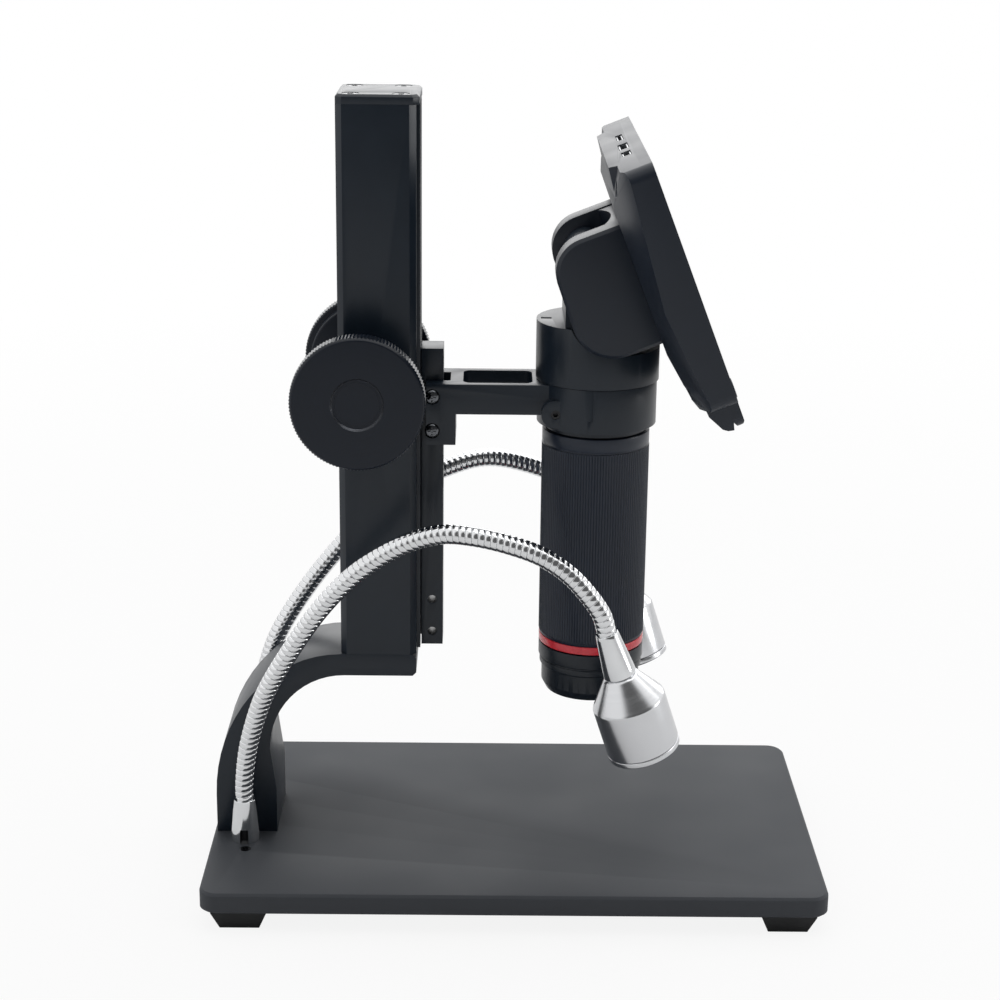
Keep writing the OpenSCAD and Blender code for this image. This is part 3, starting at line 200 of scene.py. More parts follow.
def finishMaterial(name, look):  # soft patches of tone under a fine grain
    material, tree = startMaterial(name)
    where = addNode(tree, "ShaderNodeTexCoord").outputs["Object"]
    cloud = addNode(tree, "ShaderNodeTexNoise", {"Scale": 1 / (look["patch"] * mm), "Detail": 3.0},
                    {"Vector": where})
    grain = addNode(tree, "ShaderNodeTexNoise", {"Scale": 1 / (look["grain"] * mm), "Detail": 2.0},
                    {"Vector": where})
    shadeLook(tree, look, cloud.outputs["Fac"], grain.outputs["Fac"], bumpStrength["grain"])
    return material


def turnedMaterial(name, look):  # turning marks run round the piece, on its own UV map
    material, tree = startMaterial(name)
    where = addNode(tree, "ShaderNodeUVMap").outputs[0]
    stretch = addNode(tree, "ShaderNodeMapping", {"Scale": (look["streaks"], 1 / (look["mark"] * mm), 1)},
                      {"Vector": where})
    marks = addNode(tree, "ShaderNodeTexNoise", {"Scale": 1.0, "Detail": 3.0}, {"Vector": stretch.outputs[0]})
    shadeLook(tree, look, marks.outputs["Fac"], marks.outputs["Fac"], bumpStrength["marks"])
    return material


def glassMaterial(name, tint, rough, ior):
    material, tree = startMaterial(name)
    where = addNode(tree, "ShaderNodeTexCoord").outputs["Object"]
    haze = addNode(tree, "ShaderNodeTexNoise", {"Scale": 1 / (glassHaze["patch"] * mm), "Detail": 2.0},
                   {"Vector": where})
    amount = addNode(tree, "ShaderNodeMapRange", {3: rough, 4: rough + glassHaze["spread"]},
                     {0: haze.outputs["Fac"]})
    shader = addNode(tree, "ShaderNodeBsdfPrincipled",
                     {"Base Color": colour(tint), "Transmission Weight": 1.0, "IOR": ior},
                     {"Roughness": amount.outputs[0]})
    addNode(tree, "ShaderNodeOutputMaterial", {}, {"Surface": shader.outputs[0]})
    return material


# Bead-blasted black anodised aluminium: an even satin black that lifts to grey where it faces the light
blackAnodised = finishMaterial("blackAnodisedAluminium", {
    "colours": ("141d27", "1b2530"), "patch": 14, "grain": 0.5, "metal": 0.0,
    "rough": (0.3, 0.36), "depth": 0.01, "specular": 0.4})
# Powder coat on the base plate: a satin charcoal with a fine orange-peel
plateCoat = finishMaterial("charcoalPowderCoat", {
    "colours": ("393c41", "414449"), "patch": 30, "grain": 0.7, "metal": 0.0,
    "rough": (0.6, 0.68), "depth": 0.02, "specular": 0.35})
# Moulded black ABS: spark-eroded tool texture, so a soft even sheen
mouldedAbs = finishMaterial("mouldedBlackAbs", {
    "colours": ("151c27", "1c2430"), "patch": 20, "grain": 0.45, "metal": 0.0,
    "rough": (0.34, 0.4), "depth": 0.015, "specular": 0.4})
# Satin black enamel on the lens nose: smoother than the blasted parts, so its edges catch a soft line
noseBlack = finishMaterial("satinBlackEnamel", {
    "colours": ("131a22", "19212a"), "patch": 12, "grain": 1.0, "metal": 0.0,
    "rough": (0.3, 0.36), "depth": 0.004, "specular": 0.4})
# Black anodised on the ribbed barrel, with a finer blast than the column: each rib takes a thin soft line
barrelBlack = finishMaterial("fineBlackAnodised", {
    "colours": ("1a2230", "222b3a"), "patch": 9, "grain": 0.4, "metal": 0.0,
    "rough": (0.30, 0.36), "depth": 0.008, "specular": 0.4})
# Red anodised ring: a clear bright red under a thin seal that adds some gloss
redAnodised = finishMaterial("redAnodisedRing", {
    "colours": ("d62636", "ea3a48"), "patch": 6, "grain": 0.5, "metal": 0.0,
    "rough": (0.25, 0.32), "depth": 0.01, "coat": 0.3})
# Moulded rubber feet: deep black, dull
footRubber = finishMaterial("mouldedRubber", {
    "colours": ("0f1012", "17181a"), "patch": 8, "grain": 0.6, "metal": 0.0,
    "rough": (0.6, 0.75), "depth": 0.04})
# Chrome-plated wound steel strip: a mirror with slight haze in the grooves
neckChrome = finishMaterial("chromePlatedStrip", {
    "colours": ("dcdddf", "eaebec"), "patch": 5, "grain": 1.2, "metal": 1.0,
    "rough": (0.08, 0.14), "depth": 0.003})
# Polished chrome plate on the ferrules: a clean mirror that picks up the dark side of the room
ferruleChrome = finishMaterial("polishedChromePlate", {
    "colours": ("dadcde", "e8e9ea"), "patch": 6, "grain": 2.0, "metal": 1.0,
    "rough": (0.07, 0.12), "depth": 0.002})
# Dark nickel plate on the screws that show: a dim mirror, black where it faces the dark side
darkNickel = finishMaterial("darkNickelPlate", {
    "colours": ("5c5e62", "74767a"), "patch": 3, "grain": 0.6, "metal": 1.0,
    "rough": (0.18, 0.26), "depth": 0.006})
# Turned aluminium with a clear anodise: fine rings round the lamp
turnedAluminium = turnedMaterial("turnedSatinAluminium", {
    "colours": ("cfd0d3", "dcdddf"), "streaks": 3, "mark": 0.35, "metal": 1.0,
    "rough": (0.18, 0.25), "depth": 0.003})
# Turned and black anodised knobs: an even black face with hardly a ring to see
turnedBlack = turnedMaterial("turnedBlackAnodised", {
    "colours": ("0e1520", "141c28"), "streaks": 3, "mark": 0.5, "metal": 0.0,
    "rough": (0.28, 0.34), "depth": 0.003, "specular": 0.3})
# Wall of the hollow in each knob: a lighter metal colour as a painted highlight, so its lower side mirrors the
# ceiling as a bright crescent
hollowHighlightMetal = turnedMaterial("knobHollowPaintedHighlight", {
    "colours": ("74777c", "80838a"), "streaks": 3, "mark": 0.5, "metal": 1.0,
    "rough": (0.2, 0.26), "depth": 0.002})
# Zinc-plated pressed steel of the sockets: a greyish shine
zincSteel = finishMaterial("zincPlatedSteel", {
    "colours": ("8d8f92", "a6a8ab"), "patch": 4, "grain": 0.5, "metal": 1.0,
    "rough": (0.25, 0.36), "depth": 0.01})
# Black oxide on the hidden screws: a dull black that stays dark from every side. The same black is painted
# shade in the lead notch of each base ferrule
blackSteelAndNotchShade = finishMaterial("blackOxideAndNotchShade", {
    "colours": ("1c1d20", "26282b"), "patch": 4, "grain": 0.5, "metal": 0.3,
    "rough": (0.35, 0.45), "depth": 0.01})
# Ground steel of the rack, shaft and studs: a bright grey with a soft shine
groundSteel = finishMaterial("groundSteel", {
    "colours": ("9b9da0", "b4b6b8"), "patch": 5, "grain": 0.6, "metal": 1.0,
    "rough": (0.28, 0.38), "depth": 0.01})
# Sintered bronze bushes: brown-gold and porous, so hardly shiny
bronzeBush = finishMaterial("sinteredBronze", {
    "colours": ("8f6a3c", "a87f49"), "patch": 3, "grain": 0.4, "metal": 1.0,
    "rough": (0.35, 0.5), "depth": 0.02})
# Solder mask on the boards: a deep green with a plain gloss
boardGreen = finishMaterial("solderMask", {
    "colours": ("174a30", "205c3c"), "patch": 6, "grain": 0.5, "metal": 0.0,
    "rough": (0.3, 0.4), "depth": 0.01})
# Aluminium laminate round the battery: pale grey, slightly creased
foilGrey = finishMaterial("batteryFoil", {
    "colours": ("a4a6a9", "b6b8bc"), "patch": 6, "grain": 0.8, "metal": 0.6,
    "rough": (0.35, 0.5), "depth": 0.02})
# Cover glass over the display: black behind, a clear gloss in front
coverGlass = finishMaterial("blackedCoverGlass", {
    "colours": ("060708", "0a0b0d"), "patch": 25, "grain": 3.0, "metal": 0.0,
    "rough": (0.05, 0.08), "depth": 0.001, "specular": 0.3})
# Polariser on the display that is off: a blue-black with a slight haze
displayDark = finishMaterial("displayPolariser", {
    "colours": ("15181d", "1c2026"), "patch": 20, "grain": 1.0, "metal": 0.0,
    "rough": (0.2, 0.3), "depth": 0.002})
# Coated optical glass: clear, with a faint cool tint
clearLens = glassMaterial("coatedLensGlass", "e3eef2", 0.02, 1.5)
# Moulded frosted acrylic over the lamps: milky, so the board behind is hidden
frostedLens = glassMaterial("frostedLampLens", "f2f3ee", 0.25, 1.49)
print("finishes made")


# CAD solids that keep their shape

keep = {
    blackSteelAndNotchShade: ["foot_screws", "arch_screws", "column_screws", "rack_screws", "clamp_screw", "clevis_screws",
                 "shell_screws"],
    darkNickel: ["plate_screws", "cap_screws"],
    zincSteel: ["usb_port", "hdmi_port", "card_slot"],
    groundSteel: ["rack", "pinion_shaft", "hinge_studs", "hinge_washers", "lens_cell"],
    bronzeBush: ["pinion_bushes"],
    boardGreen: ["sensor_board", "main_board", "button_board", "led_boards"],
    foilGrey: ["battery"],
    coverGlass: ["screen_window"],
    displayDark: ["lcd_panel"],
    clearLens: ["objective_lens", "cell_lens"],
    frostedLens: ["lamp_lenses"],
    blackAnodised: ["scope_tube"],
}
for material, nodes in keep.items():
    for node in nodes:
        for slot in frame["nodes"][node].material_slots:
            slot.material = material


# Copies of CAD solids with their edges rounded

softened = {  # node: (material, edge radius in mm, and which way it mates along the screen's axis)
    "base_plate": (plateCoat, 0.5),
    "rubber_feet": (footRubber, 1.2),
    "column_foot": (blackAnodised, 0.6),
    "column": (blackAnodised, 0.25),
    "top_cap": (blackAnodised, 0.3),
    "slide_rail": (blackAnodised, 0.25),
    "arm_bracket": (blackAnodised, 0.3),
    "head_block": (blackAnodised, 0.4),
    "back_shell": (mouldedAbs, 0.6, 1),
    "front_bezel": (mouldedAbs, 0.8, -1),
    "hinge_clevis": (mouldedAbs, 0.5),
    "power_button": (mouldedAbs, 0.3),
    "menu_button": (mouldedAbs, 0.3),
    "up_button": (mouldedAbs, 0.3),
    "down_button": (mouldedAbs, 0.3),
    "ok_button": (mouldedAbs, 0.3),
    "red_ring": (redAnodised, 0.2),
    "lens_nose": (noseBlack, 0.25),
}
softening = {"lean": 21.5, "flat": 0.6, "edge": 28, "sharp": 30, "seam": 0.05}  # degrees, and the seam in mm


def seamEdges(bm, side):  # edges on the face where two covers meet, which stay crisp so that the seam closes
    lean = math.radians(softening["lean"])  # of the screen's axis above the level
    axis = Vector((math.cos(lean), 0, math.sin(lean))) * side
    level = max(v.co.dot(axis) for v in bm.verts)
    return {e for e in bm.edges if all(level - v.co.dot(axis) < softening["seam"] * mm for v in e.verts)}


def soften(node, material, radius, mating=0):
    bm = bmesh.new()
    bm.from_mesh(frame["nodes"][node].data)
    bmesh.ops.remove_doubles(bm, verts=bm.verts, dist=weld)
    bmesh.ops.dissolve_limit(bm, angle_limit=math.radians(softening["flat"]), verts=bm.verts, edges=bm.edges)
    crisp = seamEdges(bm, mating) if mating else set()
    least = math.radians(softening["edge"])
    edges = [e for e in bm.edges
             if e not in crisp and len(e.link_faces) == 2 and e.calc_face_angle(0) > least]
    bmesh.ops.bevel(bm, geom=edges, offset=radius * mm, offset_type="OFFSET", segments=3, profile=0.5,
                    affect="EDGES", clamp_overlap=True, material=-1)
    words = node.split("_")
    name = words[0] + "".join(w.capitalize() for w in words[1:])
    newPiece(name, bm, bodyOf[node], material, softening["sharp"], (node,))


for node, how in softened.items():
    soften(node, *how)
print("edges softened")


# Knobs: turned bodies with a straight knurl

knob = {"axis": (-49.8, 0, 166.5), "outer": 35, "thick": 11, "radius": 21, "neck": 2.2,
        "hub": 8, "hubFrom": 16.5, "bore": 2.55, "boreDeep": 2.4,
        "teeth": 120, "toothDeep": 0.3, "knurl": 6.4, "round": 0.25, "backRound": 0.2, "sharp": 25,
        "capRadius": 6.97, "capGap": 0.03, "capSeat": 2.0, "capUnder": 1.95, "capSharp": 30,
        "dishRadius": 8.3, "dish": 0.9}


def makeKnob(name, side, nodes):
    out, inner = knob["outer"], knob["outer"] - knob["thick"]
    r, cap, hub, edge = knob["radius"], knob["capRadius"] + knob["capGap"], knob["hub"], knob["dishRadius"]
    dishFloor, knurlEnd, waist = out - knob["dish"], out - knob["knurl"], r - knob["neck"]
    boreEnd = out - knob["boreDeep"]
    steps = knob["teeth"] * 2
    bm = bmesh.new()
    seat = [(0, out - knob["capSeat"]), (cap, out - knob["capSeat"])]
    dish = [(cap, dishFloor), (edge - 0.7, dishFloor), (edge - 0.55, dishFloor + 0.08), (edge, out)]
    front = rounded([(edge + 0.03, out), (r - 0.9, out), (r - 0.4, out - 0.5)], knob["round"])
    rim = [(r, out - 1.0), (r, out - 1.4), (r, knurlEnd + 0.3), (r, knurlEnd)]
    back = rounded([(r - 0.6, knurlEnd - 0.5), (waist, knurlEnd - 0.6), (waist, inner + 0.4),
                    (waist - 0.4, inner), (hub + 0.2, inner), (hub, inner - 0.4), (hub, knob["hubFrom"]),
                    (knob["bore"], knob["hubFrom"]), (knob["bore"], boreEnd), (0, boreEnd)],
                   knob["backRound"])
    spinProfile(bm, seat + dish + front + rim + back, steps)
    for v in bm.verts:  # every other column of the rim is pressed in
        turn = round(math.atan2(v.co.y, v.co.x) / math.tau * steps) % 2
        if turn and abs(math.hypot(v.co.x, v.co.y) - r * mm) < onSurface:
            v.co.xy *= 1 - knob["toothDeep"] / r
    for face in bm.faces:  # the wall of the hollow takes the lighter metal of the painted highlight
        middle = face.calc_center_median() / mm
        if edge - 0.6 < math.hypot(middle.x, middle.y) < edge and middle.z > dishFloor:
            face.material_index = 1
    bm.transform(acrossPlace(knob["axis"], side))
    piece = newPiece(name, bm, "pinion", turnedBlack, knob["sharp"], nodes)
    # the second slot holds the painted highlight on the hollow's wall
    piece.data.materials.append(hollowHighlightMetal)


def makeKnobCaps():
    bm = bmesh.new()
    r, top, bottom = knob["capRadius"], knob["outer"] - knob["dish"], knob["outer"] - knob["capUnder"]
    profile = [(0, top), (r, top), (r, bottom), (0, bottom)]
    for side in (1, -1):
        spinProfile(bm, profile, turnSteps["medium"], acrossPlace(knob["axis"], side))
    newPiece("knobCaps", bm, "pinion", turnedBlack, knob["capSharp"], ("knob_caps",))


makeKnob("farKnob", 1, ("far_knob",))
makeKnob("nearKnob", -1, ("near_knob",))
makeKnobCaps()
print("knobs made")


# Focus barrel: a turned sleeve with rolled vertical ribs

barrel = {"axisX": 25.2, "bottom": 81.1, "length": 70.1, "radius": 17.4, "bore": 15.28, "sleeveBottom": 78.2,
          "sleeveIn": 1.1, "collar": 4.4, "groove": 0.6, "ribs": 120, "ribDeep": 0.28, "pointsPerRib": 6,
          "sharp": 50}


def makeBarrel():
    low, high, r = barrel["bottom"], barrel["bottom"] + barrel["length"], barrel["radius"]
    bore, foot, sleeve = barrel["bore"], barrel["sleeveBottom"], r - barrel["sleeveIn"]
    step = high - barrel["collar"]
    ribTop, grooveFloor = step - barrel["groove"], r - barrel["ribDeep"] - 0.1
    collar = [(bore, high), (r - 0.4, high), (r - 0.15, high - 0.1), (r - 0.1, high - 0.35),
              (r - 0.1, step + 0.25), (r - 0.3, step)]
    groove = [(grooveFloor, step - 0.05), (grooveFloor, ribTop + 0.05), (r - 0.12, ribTop)]
    ribs = [(r, ribTop - 0.1), (r, ribTop - 0.4), (r, low + 1.6), (r, low + 1.1)]
    end = [(r - 0.25, low + 0.9), (r - 0.25, low + 0.15), (r - 0.4, low), (sleeve, low), (sleeve, foot),
           (bore, foot), (bore, high)]
    bm = bmesh.new()
    spinProfile(bm, collar + groove + ribs + end, barrel["ribs"] * barrel["pointsPerRib"])
    for v in bm.verts:
        if abs(math.hypot(v.co.x, v.co.y) - r * mm) < onSurface:
            part = (math.atan2(v.co.y, v.co.x) / math.tau * barrel["ribs"]) % 1
            v.co.xy *= 1 - barrel["ribDeep"] / r * abs(math.cos(math.pi * part)) ** 3
    bm.transform(Matrix.Translation(Vector((barrel["axisX"], 0, 0)) * mm))
    newPiece("focusBarrel", bm, "focus_ring", barrelBlack, barrel["sharp"], ("focus_barrel",))


makeBarrel()
print("barrel made")


# Pan-head cross-recess screws that hold the arm

armScrew = {"head": 4.6, "height": 1.75, "shank": 2.7, "shankFrom": 1, "sharp": 35,
            "cross": 1.35, "crossDeep": 0.55, "crossInset": 0.04, "crossMiddle": 0.35,
            "crossHalf": 12}  # degrees to either side of an arm of the cross


def makeArmScrews():
    low, high = (Vector(corner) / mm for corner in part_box("arm_screws"))
    r, top, shank = armScrew["head"] / 2, high.y, armScrew["shank"] / 2
    under = top - armScrew["height"]
    profile = [(0, top), (0.4, top), (armScrew["cross"], top - 0.16), (r * 0.82, top - 0.38),
               (r * 0.96, top - 0.68), (r, top - 0.95), (r, under), (shank, under),
               (shank, armScrew["shankFrom"]), (0, armScrew["shankFrom"])]
    bm = bmesh.new()
    for height in (low.z + r, high.z - r):
        for side in (1, -1):
            axis = Vector(((low.x + high.x) / 2, 0, height))
            spinProfile(bm, profile, turnSteps["small"], acrossPlace(axis, side))
            cross = []
            for face in bm.faces:
                p = face.calc_center_median() / mm - axis
                out, turn = math.hypot(p.x, p.z), math.degrees(math.atan2(p.z, p.x)) % 90
                inCross = out < armScrew["crossMiddle"] or min(turn, 90 - turn) < armScrew["crossHalf"]
                if p.y * side > top - 0.3 and out < armScrew["cross"] and inCross:
                    cross.append(face)
            bmesh.ops.inset_region(bm, faces=cross, thickness=armScrew["crossInset"] * mm,
                                   depth=-armScrew["crossDeep"] * mm, use_even_offset=True)
    newPiece("armScrews", bm, bodyOf["arm_screws"], darkNickel, armScrew["sharp"], ("arm_screws",))


makeArmScrews()
print("arm screws made")


# Lamps on wound goosenecks

lamps = {"radius": 11.75, "wall": 1.2, "barrel": 18.8, "cone": 9.4, "coneEnd": 5.3, "leadHole": 1.5,
         "ferrule": 15.2, "tilt": 18, "lean": 6, "near": (41.2, -38.5, 55.1), "far": (43.2, 38.5, 55.9),
         "headRound": 0.5, "rimRound": 0.2, "ferruleRound": 0.4, "sharp": 40}
neck = {"radius": 3.1, "groove": 0.32, "pitch": 2.0, "around": 24, "start": (-89, 20.3, 28),
        "reach": 0.6, "sharp": 60,  # reach along the line gives its direction
        "spare": 2, "sunk": 1.5}  # spare is wound past each end, and the sunk part of it stays in the ferrule
nearRoute = [(0, 0, 0), (0, 0, 6.2), (1.5, -0.7, 18), (5, -2, 31), (9, -3.3, 41), (16, -5, 53.5),
             (25, -7, 67.5), (34, -9, 78.5), (43, -10.5, 86.5), (53.5, -12.5, 93.3), (64.5, -14.5, 97.2),
             (75, -16.5, 97.3), (86.5, -18.5, 95.3), (97, -20.8, 92), (106, -22.5, 86)]
farRoute = [(0, 0, 0), (0, 0, 6.2), (1.2, 0.7, 18), (4, 2, 31), (8, 3.5, 42), (15.5, 5.5, 54.5),
            (24.5, 7.5, 66.5), (36, 9.5, 79.5), (49, 11.5, 91), (64.5, 13.5, 98.5), (80, 16, 102),
            (97.5, 19, 97.5), (107, 21, 91.5)]


def lampPlace(rim, side):
    lean = Matrix.Rotation(math.radians(-side * lamps["lean"]), 4, "X")
    tilt = Matrix.Rotation(math.radians(-lamps["tilt"]), 4, "Y")
    return Matrix.Translation(Vector(rim) * mm) @ (lean @ tilt)


def neckLine(route, side, rim):  # dense points in mm with their running length
    along = (lampPlace(rim, side).to_3x3() @ Vector((0, 0, 1))).normalized()
    end = Vector(rim) + along * (lamps["barrel"] + lamps["cone"] + lamps["ferrule"])
    start = Vector((neck["start"][0], side * neck["start"][1], neck["start"][2]))
    p = [start + Vector(q) for q in route] + [end + along * 2 * neck["radius"] * 1.3, end]
    dense = 12  # points between two of the route
    line = []
    for k in range(len(p) - 1):
        a, b, c, d = p[max(k - 1, 0)], p[k], p[k + 1], p[min(k + 2, len(p) - 1)]
        for i in range(dense):
            t = i / dense
            bend = (2 * a - 5 * b + 4 * c - d) * t ** 2 + (3 * b - a - 3 * c + d) * t ** 3
            line.append((2 * b + (c - a) * t + bend) / 2)
    line.append(p[-1])
    lengths = [0]
    for a, b in zip(line, line[1:]):
        lengths.append(lengths[-1] + (b - a).length)
    return line, lengths


def pointAt(line, lengths, s):
    s = min(max(s, 0), lengths[-1])
    low, high = 0, len(lengths) - 1
    while high - low > 1:
        middle = (low + high) // 2
        low, high = (middle, high) if lengths[middle] <= s else (low, middle)
    t = (s - lengths[low]) / (lengths[high] - lengths[low])
    return line[low].lerp(line[high], t)


def makeNeck(name, route, side, rim, node):
    line, lengths = neckLine(route, side, rim)
    total = lengths[-1]
    r, root, pitch = neck["radius"], neck["radius"] - neck["groove"], neck["pitch"]
    spare, sunk = neck["spare"], neck["sunk"]
    turns = math.ceil((total + 2 * spare) / pitch)
    # a flat band with a groove between its turns, its heights given as shares of the pitch
    strip = [(root, 0), (r - 0.05, 0.06), (r, 0.11), (r, 0.89), (r - 0.05, 0.94), (root, 1)]
    wound = bmesh.new()
    verts = [wound.verts.new((x * mm, 0, (z * pitch - spare) * mm)) for x, z in strip]
    edges = [wound.edges.new(pair) for pair in zip(verts, verts[1:])]
    bmesh.ops.spin(wound, geom=verts + edges, cent=(0, 0, 0), axis=(0, 0, 1), angle=math.tau,
                   dvec=(0, 0, pitch * mm / neck["around"]), steps=neck["around"],
                   use_merge=False, use_duplicate=False)
    oneTurn = bpy.data.meshes.new("oneTurn")
    wound.to_mesh(oneTurn)
    wound.free()
    bm = bmesh.new()
    for k in range(turns):  # each turn of the strip follows on from the one below
        bm.from_mesh(oneTurn)
        oneTurn.transform(Matrix.Translation((0, 0, pitch * mm)))
    bpy.data.meshes.remove(oneTurn)
    bmesh.ops.remove_doubles(bm, verts=bm.verts, dist=0.01 * mm)
    bmesh.ops.recalc_face_normals(bm, faces=bm.faces)
    frames = {}
    for v in bm.verts:
        s = round(min(max(v.co.z / mm, -sunk), total + sunk), 2)
        if s not in frames:
            here = pointAt(line, lengths, s)
            ahead, behind = pointAt(line, lengths, s + neck["reach"]), pointAt(line, lengths, s - neck["reach"])
            along = (ahead - behind).normalized()
            here = here + along * (min(s, 0) + max(s - total, 0))
            first = Vector((0, 1, 0)).cross(along).normalized()
            frames[s] = (here, first, along.cross(first))
        here, first, second = frames[s]
        v.co = here * mm + first * v.co.x + second * v.co.y
    newPiece(name, bm, "stand", neckChrome, neck["sharp"], (node,))


def makeLampSet():
    step, length = lamps["barrel"], lamps["barrel"] + lamps["cone"]
    r, n, hole = lamps["radius"], lamps["coneEnd"], lamps["leadHole"]
    inside, tip = r - lamps["wall"], length + lamps["ferrule"]
    head = [(hole, length), (n - 0.4, length), (n + 0.3, length - 0.5), (r - 0.3, step + 0.35),
            (r, step - 0.3), (r, 2.2), (r - 0.35, 2.1), (inside, 2.1), (inside, step - 3), (inside - 3, step),
            (hole, step + 3), (hole, length)]
    rim = [(r - 3, 0.3), (r - 2.7, 0), (r - 0.4, 0), (r, 0.4), (r, 1.9), (r - 0.35, 2.0),
           (inside - 0.05, 2.0), (inside - 0.05, 5), (r - 2.2, 5), (r - 2.2, 2.0), (r - 3, 2.0), (r - 3, 0.3)]
    ferrule = [(hole, length + 0.02), (n - 0.3, length + 0.02), (n, length + 0.4), (n - 0.25, length + 3.0),
               (3.75, tip - 0.8), (3.5, tip), (3.0, tip), (hole, tip - 0.7), (hole, length + 0.02)]
    bmRim, bmFerrule = bmesh.new(), bmesh.new()
    for name, rimAt, side, node in (("nearLampHead", lamps["near"], -1, "near_lamp_head"),
                                    ("farLampHead", lamps["far"], 1, "far_lamp_head")):
        place = lampPlace(rimAt, side)
        bm = bmesh.new()
        spinProfile(bm, rounded(head, lamps["headRound"]), turnSteps["large"], place)
        newPiece(name, bm, "stand", turnedAluminium, lamps["sharp"], (node,))
        spinProfile(bmRim, rounded(rim, lamps["rimRound"]), turnSteps["large"], place)
        spinProfile(bmFerrule, rounded(ferrule, lamps["ferruleRound"]), turnSteps["medium"], place)
    newPiece("lampRims", bmRim, "stand", turnedAluminium, lamps["sharp"], ("lamp_rims",))
    newPiece("neckFerrules", bmFerrule, "stand", ferruleChrome, lamps["sharp"], ("neck_ferrules",))


# Base ferrules, with a notch for the lead on the outer side, its hollow coloured black as painted shade
baseFerrule = {"foot": 13.5, "tall": 14.5, "bore": 1.5, "wide": 4.75, "narrow": 3.6, "sharp": 30,
               "notchWidth": 3.0, "notchTop": 5.0, "notchDeep": 1.3, "notchInset": 0.05, "notchFrom": 3.3}


def makeBaseFerrules():
    bm = bmesh.new()
    x, y, z = neck["start"][0], neck["start"][1], baseFerrule["foot"]
    bore, wide, narrow, tall = (baseFerrule[key] for key in ("bore", "wide", "narrow", "tall"))
    profile = [(bore, 0), (wide - 0.1, 0), (wide, 0.1), (wide, 3.4), (wide - 0.15, baseFerrule["notchTop"]),
               (4.05, 11.0), (narrow, tall - 0.1), (narrow - 0.1, tall), (bore, tall), (bore, 0)]
    for side in (1, -1):
        spinProfile(bm, profile, turnSteps["medium"], Matrix.Translation(Vector((x, side * y, z)) * mm))
    notch = []
    for face in bm.faces:
        p = face.calc_center_median() / mm
        outward = abs(p.y) - y > baseFerrule["notchFrom"]
        inHeight = z + 0.02 < p.z < z + baseFerrule["notchTop"]
        if outward and abs(p.x - x) < baseFerrule["notchWidth"] / 2 and inHeight:
            notch.append(face)
    walls = bmesh.ops.inset_region(bm, faces=notch, thickness=baseFerrule["notchInset"] * mm,
                                   depth=-baseFerrule["notchDeep"] * mm, use_even_offset=True)["faces"]
    # the notch's floor and walls take the black as painted shade
    for face in notch + walls:
        face.material_index = 1
    piece = newPiece("baseFerrules", bm, "stand", ferruleChrome, baseFerrule["sharp"], ("base_ferrules",))
    piece.data.materials.append(blackSteelAndNotchShade)


makeNeck("nearGooseneck", nearRoute, -1, lamps["near"], "near_gooseneck")
makeNeck("farGooseneck", farRoute, 1, lamps["far"], "far_gooseneck")
makeLampSet()
makeBaseFerrules()
print("lamps and goosenecks made")


# Floor, world and lights

stage = {"floorSize": 24, "floorColour": "f4f4f4", "shadowKept": 0.12, "fadeFrom": 0.35, "fadeTo": 0.9,
         "skyLight": 0.7, "darkSide": (0.3, -0.92, 0.25), "darkLevel": 0.12, "darkFrom": 0.8, "darkTo": 0.62,
         "aim": (0, 0, 0.13)}
softboxes = {  # place and size in metres, power in watts, and whether it is a card that shows only in gloss
    "overheadBox": ((0.3, 0.4, 1.6), (2.4, 2.0), 13, False),
    "backCard": ((0.5, 2.2, 0.9), (3.2, 1.2), 15, True),
    "rightCard": ((1.6, -0.1, 0.15), (0.5, 1.2), 6, True),
}


def makeFloor():
    bm = bmesh.new()
    bmesh.ops.create_grid(bm, x_segments=2, y_segments=2, size=stage["floorSize"] / 2)
    mesh = bpy.data.meshes.new("studioFloor")
    bm.to_mesh(mesh)
    bm.free()
    floor = bpy.data.objects.new("studioFloor", mesh)
    bpy.context.scene.collection.objects.link(floor)
    material, tree = startMaterial("paleStudioFloor")
    where = addNode(tree, "ShaderNodeTexCoord").outputs["Object"]
    away = addNode(tree, "ShaderNodeVectorMath", {"operation": "LENGTH"}, {0: where})
    fade = addNode(tree, "ShaderNodeMapRange",
                   {1: stage["fadeFrom"], 2: stage["fadeTo"], 3: 1 - stage["shadowKept"], 4: 1.0},
                   {0: away.outputs["Value"]})
    path = addNode(tree, "ShaderNodeLightPath")
    shown = addNode(tree, "ShaderNodeMath", {"operation": "MULTIPLY"},
                    {0: path.outputs["Is Camera Ray"], 1: fade.outputs[0]})
    paper = addNode(tree, "ShaderNodeBsdfDiffuse", {"Color": colour(stage["floorColour"])})
    glow = addNode(tree, "ShaderNodeEmission", {"Color": (1, 1, 1, 1), "Strength": 1.0})
    both = addNode(tree, "ShaderNodeMixShader", {},
                   {0: shown.outputs[0], 1: paper.outputs[0], 2: glow.outputs[0]})
    addNode(tree, "ShaderNodeOutputMaterial", {}, {"Surface": both.outputs[0]})
    mesh.materials.append(material)


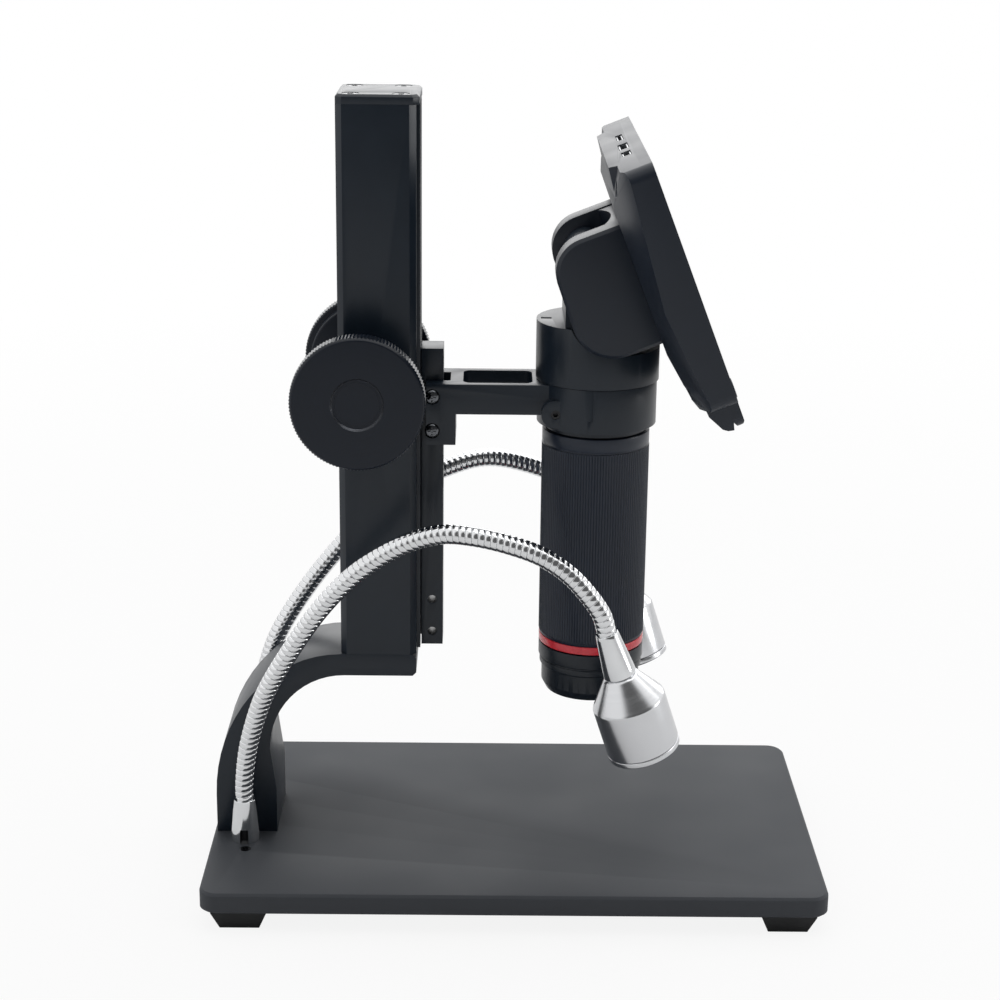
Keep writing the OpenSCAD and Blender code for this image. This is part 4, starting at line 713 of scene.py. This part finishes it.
def makeWorld():
    world = bpy.data.worlds.new("studioWorld")
    bpy.context.scene.world = world
    world.use_nodes = True
    tree = world.node_tree
    tree.nodes.clear()
    path = addNode(tree, "ShaderNodeLightPath")
    seen = addNode(tree, "ShaderNodeMath", {"operation": "MAXIMUM"},
                   {0: path.outputs["Is Camera Ray"], 1: path.outputs["Is Transmission Ray"]})
    shiny = addNode(tree, "ShaderNodeMath", {"operation": "MAXIMUM"},
                    {0: seen.outputs[0], 1: path.outputs["Is Glossy Ray"]})
    level = addNode(tree, "ShaderNodeMapRange", {3: stage["skyLight"], 4: 1.0}, {0: shiny.outputs[0]})
    # The room is dark in front of the set, between a white floor and a white ceiling
    toward = addNode(tree, "ShaderNodeVectorMath", {"operation": "DOT_PRODUCT", 1: stage["darkSide"]},
                     {0: addNode(tree, "ShaderNodeTexCoord").outputs["Generated"]})
    room = addNode(tree, "ShaderNodeMapRange",
                   {1: stage["darkTo"], 2: stage["darkFrom"], 3: 1.0, 4: stage["darkLevel"]},
                   {0: toward.outputs["Value"]})
    seenRoom = addNode(tree, "ShaderNodeMath", {"operation": "MAXIMUM"},
                       {0: room.outputs[0], 1: seen.outputs[0]})
    total = addNode(tree, "ShaderNodeMath", {"operation": "MULTIPLY"},
                    {0: level.outputs[0], 1: seenRoom.outputs[0]})
    sky = addNode(tree, "ShaderNodeBackground", {"Color": (1, 1, 1, 1)}, {"Strength": total.outputs[0]})
    addNode(tree, "ShaderNodeOutputWorld", {}, {"Surface": sky.outputs[0]})


def addSoftbox(name, place, size, power, card):
    data = bpy.data.lights.new(name, "AREA")
    data.shape, data.size, data.size_y, data.energy = "RECTANGLE", size[0], size[1], power
    box = bpy.data.objects.new(name, data)
    box.location = place
    box.rotation_euler = (Vector(stage["aim"]) - Vector(place)).to_track_quat("-Z", "Y").to_euler()
    box.visible_diffuse = not card
    bpy.context.scene.collection.objects.link(box)


makeFloor()
makeWorld()
for name, box in softboxes.items():
    addSoftbox(name, *box)
bpy.context.scene.view_settings.view_transform = "Standard"
print("stage lit")
